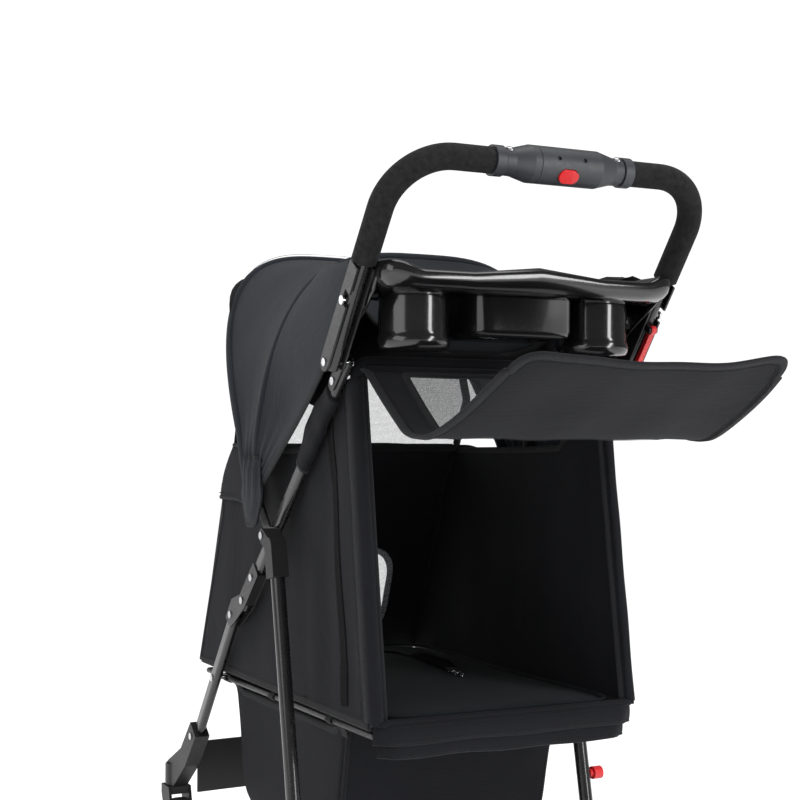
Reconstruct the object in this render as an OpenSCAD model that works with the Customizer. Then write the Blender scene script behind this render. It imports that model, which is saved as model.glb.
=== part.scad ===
// Folding pet stroller. +X is the user's right, +Y is forward, +Z is up,
// and z = 0 is the floor that the four wheels stand on.
// A place in the side view is written [y, z].

/* [Side frame] */
// Middle of each side tube, out from the centre line
side_x = 189.5; // [186:0.5:190]
// Side tube size across the stroller
side_t = 12; // [10:0.5:12]
// Side tube size in the side view
side_d = 20; // [16:1:22]
// Wall of every steel tube
tube_wall = 1.5; // [1:0.1:2]
// Radius of every rivet and hinge pin
pin_r = 3; // [2.5:0.1:3]

/* [Handle] */
// Lean of the handle behind the vertical, degrees
handle_lean = 36.7; // [30:0.1:40]
// Handle pivot to the middle of the grip bar
handle_reach = 274; // [260:1:290]
// Middle of each handle tube, out from the centre line
handle_x = 206.5; // [206.3:0.1:206.8]
// Handle tube diameter
handle_d = 17; // [15:0.5:17]
// Bend radius at the handle's corners
handle_bend = 70; // [55:1:80]
// Foam grip diameter
foam_d = 30; // [26:1:32]

/* [Wheels] */
// Rear wheel radius
rear_r = 75; // [70:1:75]
// Front wheel radius
front_r = 62; // [55:1:62]
// Rear wheel width
rear_w = 20; // [16:1:20]
// Front wheel width
front_w = 24; // [18:1:24]
// Caster pivot ahead of the front axle
caster_trail = 28; // [20:1:32]

/* [Cabin] */
// Outer half width of the cabin
cabin_half = 178.5; // [170:0.5:178.5]
// Thickness of the cabin's walls
wall_t = 3; // [2:0.5:4]
// Floor pad thickness
pad_t = 15; // [10:1:16]
// Half width of the storage basket
basket_half = 155; // [140:1:160]

/* [Tray] */
// Cup holder bore radius
cup_r = 38.5; // [36:0.5:40]
// Cup holder depth
cup_depth = 78; // [60:1:80]
// Cup holder centre, out from the centre line
cup_x = 125; // [120:1:130]

/* [Canopy] */
// Half width of the bows
bow_half = 198; // [196:0.5:198]
// Front bow height from the canopy pivot
front_bow_h = 425; // [400:1:430]
// Middle bow height from the canopy pivot
mid_bow_h = 335; // [320:1:340]
// Front bow angle above forward, degrees
front_bow_a = 56; // [52:1:60]
// Middle bow angle above forward, degrees
mid_bow_a = 104; // [100:1:106]

/* [Hidden] */
$fn = 64;

LEFT = -1;
RIGHT = 1;
gap = 0.05;        // running clearance of a pin in its hole
fit_gap = 0.1;     // gap between faces that lie against each other
hole_r = pin_r + gap;

// Fixed points of the side view
pivot = [-137, 752];
knee = [198, 425];
leg_top = [208, 437];
leg_foot = [380, 217];
hub = [50, 540];
canopy_pivot = [115, 578];
rear_axle_at = [-64, rear_r];
caster_y = 468;
front_axle_at = [caster_y - caster_trail, front_r];
floor_hinge = [296.4, 324];
flap_top = [-131, 750];
flap_low = [-308.5, 657];
flap_end = [-501, 755.5];
hoop_foot = [-189, 336];

// Side plane layout, out from the centre line
side_in = side_x - side_t / 2;
side_out = side_x + side_t / 2;
plate_in = side_out + 0.2;
plate_out = plate_in + 3;
leg_d = 18;
cap_wall = 1.6;
cap_in = plate_out + 0.3;
leg_x = cap_in + cap_wall + gap + leg_d / 2;
leg_out = leg_x + leg_d / 2;
cap_out = 2 * leg_x - cap_in;
channel_in = side_out + fit_gap;
channel_out = handle_x + handle_d / 2 + 2.9;
rear_wheel_x = 231;
tray_end = side_out - 0.1;
tray_wall = 3;
foam_start = 138;   // from the handle pivot to the lower end of the foam

function along_dir(p, q) = (q - p) / norm(q - p);
function on_line(p, q, s) = p + s * along_dir(p, q);
function lean(p, q) = atan2(p[0] - q[0], q[1] - p[1]);
function mix(a, b, t) = a + (b - a) * t;

cross_rivet = on_line(pivot, knee, 303);
foot_rivet = on_line(pivot, knee, 30);
tray_rivets = [for (s = [80, 102]) pivot + s * [-sin(handle_lean), cos(handle_lean)]];
lock_rivet_a = on_line(pivot, knee, 392);
lock_rivet_b = on_line(pivot, knee, 440);
lock_rivet_c = on_line(leg_top, leg_foot, 20);
socket_rivet = on_line(leg_top, leg_foot, 264);

// ---------- helpers ----------

// Put children at p in the side view with +Z running towards q
module along(x, p, q) {
    translate([x, p[0], p[1]]) rotate([lean(p, q), 0, 0]) children();
}

// Extrude side view outlines, one by one, from x0 to x1 on one side of the stroller
module side_plate(side, x0, x1) {
    translate([side < 0 ? -x1 : x0, 0, 0]) rotate([90, 0, 90])
        for (i = [0 : $children - 1]) linear_extrude(x1 - x0) children(i);
}

// A pin or a hole along X at p, from x0 to x1 on one side
module x_pin(side, p, x0, x1, r) {
    translate([side < 0 ? -x1 : x0, p[0], p[1]]) rotate([0, 90, 0]) cylinder(h = x1 - x0, r = r);
}

// Half circle of points round c, turning from angle a0
function half_round(c, r, a0) = [for (k = [0 : 12]) c + r * [cos(a0 + 15 * k), sin(a0 + 15 * k)]];

// Outline through pts with every corner rounded to r
function rounded_points(pts, r) = [
    for (i = [0 : len(pts) - 1])
        let (
            p = pts[i],
            u = along_dir(p, pts[(i + len(pts) - 1) % len(pts)]),
            v = along_dir(p, pts[(i + 1) % len(pts)]),
            half = acos(u * v) / 2,
            c = p + r / sin(half) * (u + v) / norm(u + v),
            a = p + r / tan(half) * u - c,
            b = p + r / tan(half) * v - c
        )
        for (k = [0 : 8]) c + r * mix(a, b, k / 8) / norm(mix(a, b, k / 8))
];

// Outline with two round ends and a straight middle
module stadium(a, b, r) {
    turn = atan2((b - a)[1], (b - a)[0]);
    polygon(concat(half_round(a, r, turn + 90), half_round(b, r, turn - 90)));
}

// Outline of a moulded sleeve: round at its root, cut square at its mouth
module sleeve(mouth, root, r) {
    turn = atan2((root - mouth)[1], (root - mouth)[0]);
    side = r * [-sin(turn), cos(turn)];
    polygon(concat(half_round(root, r, turn - 90), [mouth + side, mouth - side]));
}

module oval(w, d) {
    square([w, d - w], center = true);
    for (s = [-1, 1]) translate([0, s * (d - w) / 2]) circle(d = w);
}

module oval_tube(length, w, d) {
    linear_extrude(length) difference() {
        oval(w, d);
        oval(w - 2 * tube_wall, d - 2 * tube_wall);
    }
}

module rounded_rect(w, d, r) {
    for (x = [-1, 1], y = [-1, 1]) translate([x * (w / 2 - r), y * (d / 2 - r)]) circle(r);
    square([w, d - 2 * r], center = true);
    square([w - 2 * r, d], center = true);
}

module pipe(length, d, wall) {
    difference() {
        cylinder(h = length, d = d);
        translate([0, 0, -1]) cylinder(h = length + 2, d = d - 2 * wall);
    }
}

// Every headed rivet of one side: place, inner end, outer end
function rivets() = [
    [pivot, side_in, channel_out],
    [foot_rivet, side_in, channel_in + 2],
    [cross_rivet, side_in, plate_out],
    [hub, plate_in, cap_out + 0.1],
    [canopy_pivot, plate_in, plate_out + 6.8],
    [lock_rivet_a, side_in - 1.8, side_out + 1.8],
    [lock_rivet_b, side_in - 1.8, side_out + 1.8],
    [lock_rivet_c, side_in - 1.8, side_out + 1.8],
    [floor_hinge, 165.8, side_out],
    [socket_rivet, side_x - 11, side_x + 11]
];

module rivet_holes(side) {
    for (v = rivets()) x_pin(side, v[0], v[1] - 6, v[2] + 6, hole_r);
    for (p = tray_rivets) x_pin(side, p, side_out - 6, channel_in + 2.1, hole_r);
}

module frame_rivets() {
    head_r = 5;
    head_h = 1.6;
    color("silver") for (side = [LEFT, RIGHT], v = rivets()) {
        x_pin(side, v[0], v[1] - head_h, v[2] + head_h, pin_r);
        x_pin(side, v[0], v[1] - head_h, v[1] - gap, head_r);
        x_pin(side, v[0], v[2] + gap, v[2] + head_h, head_r);
    }
    color("silver") for (side = [LEFT, RIGHT], p = tray_rivets) {
        x_pin(side, p, tray_end - tray_wall - head_h, channel_in + 1.9, pin_r);
        x_pin(side, p, tray_end - tray_wall - head_h, tray_end - tray_wall - gap, head_r);
    }
}

// One side of a round arch: up at size[0] from z0, round the bend, in to x1 at height size[1]
module arch_side(side, size, bend, d, z0, x1) {
    corner = size - [bend, bend];
    translate([side * size[0], 0, z0]) cylinder(h = corner[1] - z0, d = d);
    translate([side * corner[0], 0, corner[1]]) rotate([90, 0, 0]) rotate([0, 0, side < 0 ? 90 : 0])
        rotate_extrude(angle = 90) translate([bend, 0]) circle(d = d);
    translate([side < 0 ? -corner[0] : x1, 0, size[1]]) rotate([0, 90, 0])
        cylinder(h = corner[0] - x1, d = d);
}

// ---------- side frame ----------

module upper_tube(side) {
    color([0.05, 0.05, 0.06]) difference() {
        along(side * side_x, on_line(pivot, knee, -6), knee) oval_tube(458, side_t, side_d);
        rivet_holes(side);
    }
}

module front_leg(side) {
    color([0.05, 0.05, 0.06]) difference() {
        along(side * side_x, leg_top, leg_foot) oval_tube(292, side_t, side_d);
        rivet_holes(side);
    }
}

// Folded steel channel that joins the upper tube to the front leg
module lock_channel(side) {
    t = 1.7;
    cheek = [[136, 499], [185, 452], [216, 443], [238, 416], [222, 403], [205, 412], [169, 435], [120, 483]];
    color([0.1, 0.1, 0.11]) difference() {
        union() {
            side_plate(side, side_out + fit_gap, side_out + fit_gap + t) polygon(cheek);
            side_plate(side, side_in - fit_gap - t, side_in - fit_gap) polygon(cheek);
            along(side * side_x, on_line(pivot, knee, 374), knee)
                translate([-side_t / 2 - fit_gap - t, side_d / 2 + 0.3, 0])
                    cube([side_t + 2 * (fit_gap + t), 2.4, 62]);
        }
        rivet_holes(side);
    }
}

// Flat links that carry the rear leg's pivot and the canopy's pivot
module hub_plates() {
    color([0.12, 0.12, 0.13]) for (side = [LEFT, RIGHT]) difference() {
        side_plate(side, plate_in, plate_out) {
            stadium(hub, cross_rivet, 9);
            stadium(cross_rivet, canopy_pivot, 9);
        }
        rivet_holes(side);
    }
}

// Moulded foot of the front leg, with the caster's bearing
module front_socket(side) {
    outline = [
        [351, 231], [373, 249], [415, 204], [472, 176], [486, 168], [486, 140], [449, 140], [395, 181]
    ];
    color([0.07, 0.07, 0.08]) difference() {
        union() {
            side_plate(side, side_x - 11, side_x + 11) polygon(outline);
            translate([side * side_x, caster_y, 140]) cylinder(h = 32, r = 15);
        }
        along(side * side_x, on_line(leg_top, leg_foot, 200), leg_foot)
            linear_extrude(92.4) oval(side_t + 2 * fit_gap, side_d + 2 * fit_gap);
        translate([side * side_x, caster_y, 139]) cylinder(h = 27.5, r = 5 + gap);
        rivet_holes(side);
    }
}

// Moulded foot rest that ties the two front sockets together
module front_panel() {
    half = side_x - 11 - fit_gap;
    bend = [for (t = [-1 : 0.1 : 1]) [t * half, 404 + 8 * (1 - t * t)]];
    back = [for (t = [1 : -0.1 : -1]) [t * half, 399 + 8 * (1 - t * t)]];
    color([0.09, 0.09, 0.1]) translate([0, 0, 140]) linear_extrude(74) polygon(concat(bend, back));
}

// Upright channel that the handle tube seats in, with a slot for the latch peg
module handle_channel(side) {
    up = handle_lean;
    top = 132;
    color([0.05, 0.05, 0.06]) difference() {
        union() {
            translate([0, pivot[0], pivot[1]]) rotate([up, 0, 0]) {
                for (x = [[channel_in, channel_in + 2], [channel_out - 2.5, channel_out]])
                    side_plate(side, x[0], x[1]) {
                        circle(11);
                        translate([-11, 0]) square([22.5, top]);
                    }
                translate([side < 0 ? -channel_out : channel_in, 9.2, 16])
                    cube([channel_out - channel_in, 2.3, top - 16]);
            }
            side_plate(side, channel_in, channel_in + 2) stadium(pivot, on_line(pivot, knee, 34), 9);
        }
        translate([0, pivot[0], pivot[1]]) rotate([up, 0, 0])
            side_plate(side, channel_out - 4, channel_out + 1)
                translate([-14, 80.9]) square([16.7, 17.3]);
        rivet_holes(side);
    }
}

// ---------- tray ----------

// Room beside the tray's back corner for the foam grip, which swings past it
module foam_relief(side) {
    side_plate(side, handle_x - foam_d / 2 - 0.4, tray_end + 1) translate(pivot) difference() {
        circle(foam_start + 80);
        circle(foam_start - 1.5);
    }
}

module cup_tray() {
    rim_z = 848;
    y0 = -262;
    y1 = -92;
    cup_y = -182;
    pocket = [136, 112];
    cheek = [
        [-128, 770], [-80, 825], [-80, 848], [-100, 862],
        [-211, 862], [-232, 849.5], [-258, 849], [-262, 834], [-218, 832]
    ];
    color([0.03, 0.03, 0.035]) difference() {
        union() {
            translate([0, (y0 + y1) / 2, rim_z - 4]) linear_extrude(4)
                rounded_rect(2 * tray_end, y1 - y0, 20);
            translate([0, (y0 + y1) / 2, rim_z - 17]) linear_extrude(17) difference() {
                rounded_rect(2 * tray_end, y1 - y0, 20);
                rounded_rect(2 * tray_end - 6, y1 - y0 - 6, 17);
            }
            for (s = [-1, 1]) translate([s * cup_x, cup_y, rim_z - cup_depth - 5])
                cylinder(h = cup_depth + 5, r = cup_r + 3);
            translate([0, cup_y + 4, rim_z - 66]) linear_extrude(66) rounded_rect(pocket[0], pocket[1], 14);
            for (side = [LEFT, RIGHT]) side_plate(side, tray_end - tray_wall, tray_end) polygon(cheek);
        }
        for (s = [-1, 1]) translate([s * cup_x, cup_y, rim_z - cup_depth])
            cylinder(h = cup_depth + 1, r = cup_r);
        translate([0, cup_y + 4, rim_z - 63]) linear_extrude(70)
            rounded_rect(pocket[0] - 6, pocket[1] - 6, 11);
        for (side = [LEFT, RIGHT]) {
            rivet_holes(side);
            foam_relief(side);
        }
    }
}

// ---------- cabin ----------

front_foot = [393, 334];
front_fold = [306, 577];
front_top = [258, 645];

module cabin_side(side) {
    side_plate(side, cabin_half - wall_t, cabin_half) polygon([
        hoop_foot + [6, -6], flap_top + [8, -22], [-112, 728], [-27, 650],
        front_top, front_fold, front_foot
    ]);
}

// The front wall's outline, from its foot to its top, set back by d
function front_line(d) = [front_foot - [d, 0], front_fold - [d, 0], front_top - [d, 0]];

// Sewn fabric shell: two sides and the front, with a window low in the front
module cabin_walls() {
    inner = cabin_half - wall_t;
    a = front_line(0);
    b = front_line(wall_t * 1.1);
    color([0.13, 0.13, 0.15]) difference() {
        union() {
            for (side = [LEFT, RIGHT]) cabin_side(side);
            side_plate(RIGHT, -inner, inner) polygon([a[0], a[1], a[2], b[2], b[1], b[0]]);
        }
        translate([0, 440, 429.5]) rotate([90, 0, 0]) linear_extrude(140)
            rounded_rect(212, 129, 48);
    }
}

// See-through net: the lower front window and the panel up to the canopy
module front_mesh() {
    lower = [mix(front_foot, front_fold, 0.08), mix(front_foot, front_fold, 0.7)] - [[4.2, 0], [4.2, 0]];
    top = [345, 900];
    color([0.75, 0.77, 0.8]) {
        side_plate(RIGHT, -118, 118) polygon([
            lower[0], lower[1], lower[1] - [0.8, 0], lower[0] - [0.8, 0]
        ]);
        side_plate(RIGHT, -165, 165) polygon([
            front_top + [0, 1], top, top - [2, 0], front_top + [-2, 1]
        ]);
    }
}

// Steel hoop sewn into the rear opening's edge
module rear_hoop() {
    d = 10;
    top = flap_top + [4, 4];
    size = [cabin_half - d / 2, norm(top - hoop_foot)];
    color([0.1, 0.1, 0.11]) along(0, hoop_foot, top) {
        arch_side(LEFT, size, 22, d, 0, 0);
        arch_side(RIGHT, size, 22, d, 0, 0);
    }
}

// ---------- handle ----------

// Handle parts are drawn with +Z up the handle and +Y to its front
module in_handle() {
    translate([0, pivot[0], pivot[1]]) rotate([handle_lean, 0, 0]) children();
}

// The handle's run on one side, from height z0 round the corner to x1
module bent_run(side, d, z0, x1) {
    arch_side(side, [handle_x, handle_reach], handle_bend, d, z0, x1);
}

// Safety hook: place of its pin on the handle, width, and pin radius
hook_at = [-15.5, 72];
hook_w = 7;
hook_pin_r = 1.5;

module handle_tube(side) {
    color([0.05, 0.05, 0.06]) difference() {
        in_handle() difference() {
            union() {
                bent_run(side, handle_d, -8, 46);
                if (side == RIGHT) hook_ears();
            }
            bent_run(side, handle_d - 2 * tube_wall, -9, 45);
            side_plate(side, handle_x + 4, handle_x + 10) translate([-2.8, 80.7]) square([5.6, 15.5]);
        }
        rivet_holes(side);
    }
}

// Two ears behind the right tube, with the pin that the safety hook turns on
module hook_ears() {
    ear = 2;
    inner = hook_w / 2 + 0.3;
    for (s = [-1, 1]) side_plate(RIGHT, handle_x + s * (inner + ear / 2) - ear / 2,
        handle_x + s * (inner + ear / 2) + ear / 2) stadium([-5, hook_at[1]], hook_at, 4.2);
    x_pin(RIGHT, hook_at, handle_x - inner - 1, handle_x + inner + 1, hook_pin_r);
}

module foam_grip(side) {
    color([0.12, 0.12, 0.13]) in_handle() difference() {
        bent_run(side, foam_d, foam_start, 92);
        bent_run(side, handle_d + 2 * gap, 137, 91);
    }
}

// Outline of the centre housing around the bar: [distance from centre, radius]
function housing_profile() = [[0, 21.5], [45, 21.5], [66, 16], [78, 15.5]];

module housing_solid() {
    p = housing_profile();
    rotate([0, 90, 0]) rotate_extrude() polygon(concat(
        [[0, -78]], [for (i = [3 : -1 : 0]) [p[i][1], -p[i][0]]],
        [for (v = p) [v[1], v[0]]], [[0, 78]]
    ));
}

module housing_hollow() {
    rotate([0, 90, 0]) {
        translate([0, 0, -80]) cylinder(h = 160, d = handle_d + 2 * gap);
        translate([0, 0, -44]) cylinder(h = 88, r = 17);
    }
}

// The button's axis points out of the housing, back and down
button_tilt = 130;

module button_frame() {
    translate([0, 0, handle_reach]) rotate([button_tilt - handle_lean, 0, 0]) children();
}

// Barrel of the grip's centre, split from its cover at one end
module handle_housing() {
    split_x = -36;
    color([0.2, 0.21, 0.23]) in_handle() difference() {
        intersection() {
            translate([0, 0, handle_reach]) housing_solid();
            translate([split_x, -40, handle_reach - 40]) cube([200, 80, 80]);
        }
        translate([0, 0, handle_reach]) housing_hollow();
        button_frame() linear_extrude(30) oval_button(0.4);
        for (x = [-14, 20]) translate([x, 0, handle_reach]) rotate([75 - handle_lean, 0, 0])
            translate([0, 0, 18.5]) cylinder(h = 6, r = 2.6);
    }
}

module housing_cover() {
    split_x = -36.6;
    color([0.18, 0.19, 0.21]) in_handle() difference() {
        intersection() {
            translate([0, 0, handle_reach]) housing_solid();
            translate([split_x - 200, -40, handle_reach - 40]) cube([200, 80, 80]);
        }
        translate([0, 0, handle_reach]) housing_hollow();
    }
}

// Flared end rings between the foam and the housing
module grip_collars() {
    color([0.22, 0.23, 0.25]) in_handle() for (s = [-1, 1])
        translate([s * 85 - 6, 0, handle_reach]) rotate([0, 90, 0]) difference() {
            cylinder(h = 12, r = 17.5);
            translate([0, 0, -1]) cylinder(h = 14, d = handle_d + 2 * gap);
        }
}

module oval_button(extra) {
    scale_y = 16;
    for (s = [-1, 1]) translate([s * 4.5, 0]) circle(d = scale_y + 2 * extra);
    square([9, scale_y + 2 * extra], center = true);
}

module release_button() {
    color([0.85, 0.1, 0.1]) in_handle() button_frame() {
        translate([0, 0, 13]) linear_extrude(10.5) oval_button(0);
        translate([0, 0, 11]) linear_extrude(2) square([22, 18], center = true);
    }
}

// Return spring of the button, drawn as the sleeve it fills, from the housing's far wall
module button_spring() {
    seat = -16.1;
    color("silver") in_handle() button_frame() translate([0, 0, seat]) pipe(10.8 - seat, 9, 1);
}

// Plungers in the handle's feet, each with a peg that hooks in its channel
module latch_pins() {
    r = handle_d / 2 - tube_wall - 0.1;
    color([0.5, 0.5, 0.52]) in_handle() for (side = [LEFT, RIGHT]) {
        translate([side * handle_x, 0, 74]) cylinder(h = 22, r = r);
        x_pin(side, [0, 85], handle_x + 2, channel_out + 2.6, 2.5);
        x_pin(side, [0, 85], channel_out + 0.4, channel_out + 2.6, 5.5);
    }
}

// Pull cables inside the tubes, from the latch plungers to the housing
module release_cables() {
    color("silver") in_handle() for (side = [LEFT, RIGHT]) bent_run(side, 2, 106, 50);
}

// Red catch on the right tube's back, with its tip under the pivot
module safety_hook() {
    blade = [
        [-18.6, 72], [-12.4, 72], [-11.9, 5], [-8.2, -12], [-9.4, -15.2], [-12.6, -15.4], [-18.2, 4]
    ];
    color([0.8, 0.08, 0.1]) in_handle() difference() {
        side_plate(RIGHT, handle_x - hook_w / 2, handle_x + hook_w / 2) {
            polygon(blade);
            translate(hook_at) circle(5.6);
        }
        x_pin(RIGHT, hook_at, handle_x - hook_w, handle_x + hook_w, hook_pin_r + gap);
    }
}

// ---------- rear legs ----------

leg_start = [27, 520];
leg_end = mix(rear_axle_at, leg_start, 0.06);

knob_at = on_line(rear_axle_at, leg_start, 144);
knob_stem_r = 3;

module rear_leg(side) {
    color([0.05, 0.05, 0.06]) difference() {
        along(side * leg_x, leg_start, leg_end) pipe(norm(leg_end - leg_start), leg_d, tube_wall);
        x_pin(side, knob_at, leg_x, leg_out + 2, knob_stem_r + gap);
    }
}

// Moulded caps on the legs' tops, each with its pivot in the hub plate
module leg_caps() {
    mouth = on_line(leg_start, leg_end, 32);
    high = on_line(leg_start, leg_end, -8);
    color([0.1, 0.1, 0.11]) for (side = [LEFT, RIGHT]) difference() {
        side_plate(side, cap_in, cap_out) {
            stadium(high, hub, 9);
            sleeve(mouth, high, 11.5);
        }
        along(side * leg_x, leg_start, leg_end) translate([0, 0, -fit_gap])
            cylinder(h = 60, d = leg_d + 2 * gap);
        rivet_holes(side);
    }
}

module rear_axle() {
    end_x = 245;
    color("silver") {
        x_pin(RIGHT, rear_axle_at, -end_x, end_x, 5);
        for (side = [LEFT, RIGHT]) x_pin(side, rear_axle_at, end_x - 3.5, end_x, 8);
    }
}

// Moulded foot that holds the leg, the axle and the brake
module axle_foot(side) {
    mouth = on_line(leg_end, leg_start, 50);
    brake = rear_axle_at + [-30, 26];
    color([0.08, 0.08, 0.09]) difference() {
        side_plate(side, cap_in - 1, cap_out) {
            sleeve(mouth, rear_axle_at, 14);
            stadium(rear_axle_at, brake, 9);
        }
        along(side * leg_x, leg_end, leg_start) translate([0, 0, -fit_gap])
            cylinder(h = 80, d = leg_d + 2 * gap);
        x_pin(side, rear_axle_at, leg_x - 20, leg_x + 20, 5 + gap);
        side_plate(side, leg_x - 6.2, leg_x + 6.2) translate(brake - [24, 12]) square([31, 32]);
        x_pin(side, brake, leg_x - 20, leg_x + 20, 2.55);
    }
}

// Foot pedal of the parking brake
module brake_pedal(side) {
    at = rear_axle_at + [-30, 26];
    color([0.7, 0.08, 0.1]) {
        x_pin(side, at, cap_in, cap_out - 1, 2.5);
        side_plate(side, leg_x - 5.8, leg_x + 5.8) stadium(at, at + [-46, 8], 5.5);
        side_plate(side, cap_in, cap_out) stadium(at + [-34, 6], at + [-52, 9], 4);
    }
}

// Tyre as a ring with a crowned tread
module tyre(side, x, p, r, w) {
    rim = r * 0.76;
    crown = w * 0.28;
    color([0.06, 0.06, 0.06]) translate([side * x, p[0], p[1]]) rotate([0, 90, 0]) rotate_extrude($fn = 96)
        difference() {
            union() {
                translate([rim, -w / 2]) square([r - rim - crown, w]);
                translate([r - crown, -w / 2 + crown]) square([crown, w - 2 * crown]);
                for (s = [-1, 1]) translate([r - crown, s * (w / 2 - crown)]) circle(crown);
            }
            translate([0, -w]) square([rim, 2 * w]);
        }
}

// Spoked rim with its hub
module rim(side, x, p, r, w, bore) {
    rim_r = r * 0.76 - 0.05;
    hub_r = bore + 9;
    color([0.12, 0.12, 0.13]) translate([side * x, p[0], p[1]]) rotate([0, 90, 0]) difference() {
        union() {
            translate([0, 0, -w / 2 + 1]) pipe(w - 2, 2 * rim_r, 4);
            translate([0, 0, -w / 2]) cylinder(h = w, r = hub_r);
            for (k = [0 : 5]) rotate([0, 0, 60 * k]) translate([hub_r - 3, -4, -4])
                cube([rim_r - hub_r, 8, 8]);
        }
        translate([0, 0, -w]) cylinder(h = 2 * w, r = bore);
    }
}

module rear_rim(side) { rim(side, rear_wheel_x, rear_axle_at, rear_r, rear_w - 2, 5 + gap); }

module front_rim(side) { rim(side, side_x, front_axle_at, front_r, front_w, 4 + gap); }

// Red pull knob on the outside of the rear leg, with its stem in the tube's wall
module leg_knob(side) {
    color([0.85, 0.1, 0.12]) {
        x_pin(side, knob_at, leg_x + 1, leg_out + 6, knob_stem_r);
        x_pin(side, knob_at, leg_out + 0.4, leg_out + 6, 5);
        x_pin(side, knob_at, leg_out + 5, leg_out + 18, 8.5);
    }
}

// ---------- casters ----------

module caster_fork(side) {
    inner = front_w / 2 + 1.5;
    outer = inner + 4;
    crown_z = 128;
    blade = [[450, 139.5], [484, 139.5], [484, 126], [452, 60], [430, 54], [428, 66]];
    color([0.1, 0.1, 0.11]) translate([side * side_x, 0, 0]) {
        translate([0, caster_y, crown_z + 5]) cylinder(h = 32, r = 5);
        translate([-outer, 450, crown_z]) cube([2 * outer, 34, 11.5]);
        for (s = [-1, 1]) side_plate(s, inner, outer) {
            polygon(blade);
            translate(front_axle_at) circle(12);
        }
        translate([-outer - 2, front_axle_at[0], front_axle_at[1]]) rotate([0, 90, 0])
            cylinder(h = 2 * outer + 4, r = 4);
    }
}

// ---------- floor and basket ----------

rail_x = 170;
rail_z = 322;

// Steel floor frame: two rails, cross rods and the hinge lugs
module floor_frame() {
    r = 4;
    y0 = -176;
    y1 = 378;
    color([0.1, 0.1, 0.11]) difference() {
        union() {
            for (s = [-1, 1]) {
                translate([s * rail_x, y0, rail_z]) rotate([-90, 0, 0]) cylinder(h = y1 - y0, r = r);
                translate([s * rail_x - 4, floor_hinge[0] - 12, rail_z - 4]) cube([8, 24, 10]);
            }
            for (y = [y0, -60, 100, 312, y1]) translate([-rail_x, y, rail_z]) rotate([0, 90, 0])
                cylinder(h = 2 * rail_x, r = r);
            for (s = [-1, 1], y = [y0, y1]) translate([s * rail_x, y, rail_z]) sphere(r);
        }
        for (side = [LEFT, RIGHT]) x_pin(side, floor_hinge, 150, 190, hole_r);
        for (side = [LEFT, RIGHT]) x_pin(side, floor_hinge, 160, 166, 5.4);
    }
}

module floor_board() {
    y0 = -184;
    y1 = 374;
    color([0.15, 0.15, 0.17]) {
        translate([0, (y0 + y1) / 2, 328.2]) linear_extrude(3.8) rounded_rect(328, y1 - y0, 16);
        translate([-164, -193, 308]) cube([328, 3.5, 22]);
        translate([-164, -193, 328.2]) cube([328, 24, 1.8]);
    }
}

module floor_pad() {
    y0 = -185;
    y1 = 368;
    color([0.11, 0.13, 0.15]) translate([0, (y0 + y1) / 2, 332.3]) linear_extrude(pad_t)
        rounded_rect(326, y1 - y0, 42);
}

// Unit normal of a route at its point i
function route_normal(route, i) =
    let (d = along_dir(route[max(i - 1, 0)], route[min(i + 1, len(route) - 1)])) [-d[1], d[0]];

// Outline of a strip of webbing along a route
function strip(route, half) = concat(
    [for (i = [0 : len(route) - 1]) route[i] + half * route_normal(route, i)],
    [for (i = [len(route) - 1 : -1 : 0]) route[i] - half * route_normal(route, i)]
);

// Safety tether: webbing that lies on the pad, with a padded sleeve and a clip
module tether() {
    z = 332.3 + pad_t + 0.3;
    route = [[60, 320], [78, 275], [88, 225], [87, 165], [76, 105], [64, 58]];
    color([0.1, 0.1, 0.11]) translate([0, 0, z]) {
        linear_extrude(2) polygon(strip(route, 7.5));
        linear_extrude(5) polygon(strip([[88, 180], [86, 150], [80, 112]], 16));
        translate([64, 44]) linear_extrude(6) rounded_rect(11, 36, 4);
    }
}

// Fabric storage basket hung from the floor frame: five panels, a seam's gap apart
module storage_basket() {
    t = 3;
    seam = 0.1;
    top = 317.7;
    span = basket_half - t - seam;
    outer = [[-66, top], [318, top], [295, 146], [-30, 150]];
    rear = [[-66, top], [-60.66, top], [-26.39, 150], [-30, 150]];
    front = [[318, top], [313.33, top], [291.05, 146.05], [295, 146]];
    base = [[-26.29, 149.95], [290.95, 146.05], [291.4, 149.5], [-26.9, 153]];
    color([0.12, 0.12, 0.13]) {
        for (side = [LEFT, RIGHT]) difference() {
            side_plate(side, basket_half - t, basket_half) polygon(outer);
            translate([-200, -50, 306]) cube([400, 352, 20]);
        }
        side_plate(RIGHT, -span, span) polygon(rear);
        side_plate(RIGHT, -span, span) polygon(front);
        side_plate(RIGHT, -span, span) polygon(base);
    }
}

// ---------- rear flap ----------

flap_top_half = 167;   // half width along the top hinge
flap_fold_half = 190;  // half width across the fold
flap_end_half = 170;   // half width at the free end
flap_t = 4;
fold_gap = 1.2;        // keeps the two halves apart at the fold

// Outline symmetric about the middle: half width w0 at s0, w1 at s1
function taper(w0, s0, w1, s1) = [[-w0, s0], [w0, s0], [w1, s1], [-w1, s1]];

// Extrude an outline, drawn along the line from p to q, to thickness t
module flap_sheet(p, q, t) {
    along(0, p, q) rotate([90, 0, 0]) translate([0, 0, -t / 2]) linear_extrude(t) children();
}

// Upper half of the rear flap, with its net window
module flap_upper() {
    hinge_gap = 8;
    net_t = 1.2;
    length = norm(flap_low - flap_top);
    outline = taper(flap_top_half, hinge_gap, flap_fold_half, length - fold_gap);
    window = rounded_points(taper(118, 22, 142, length - 16), 34);
    color([0.12, 0.12, 0.13]) {
        flap_sheet(flap_top, flap_low, flap_t) difference() {
            polygon(outline);
            polygon(window);
        }
        flap_sheet(flap_top, flap_low, net_t) polygon(outline);
    }
}

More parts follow.
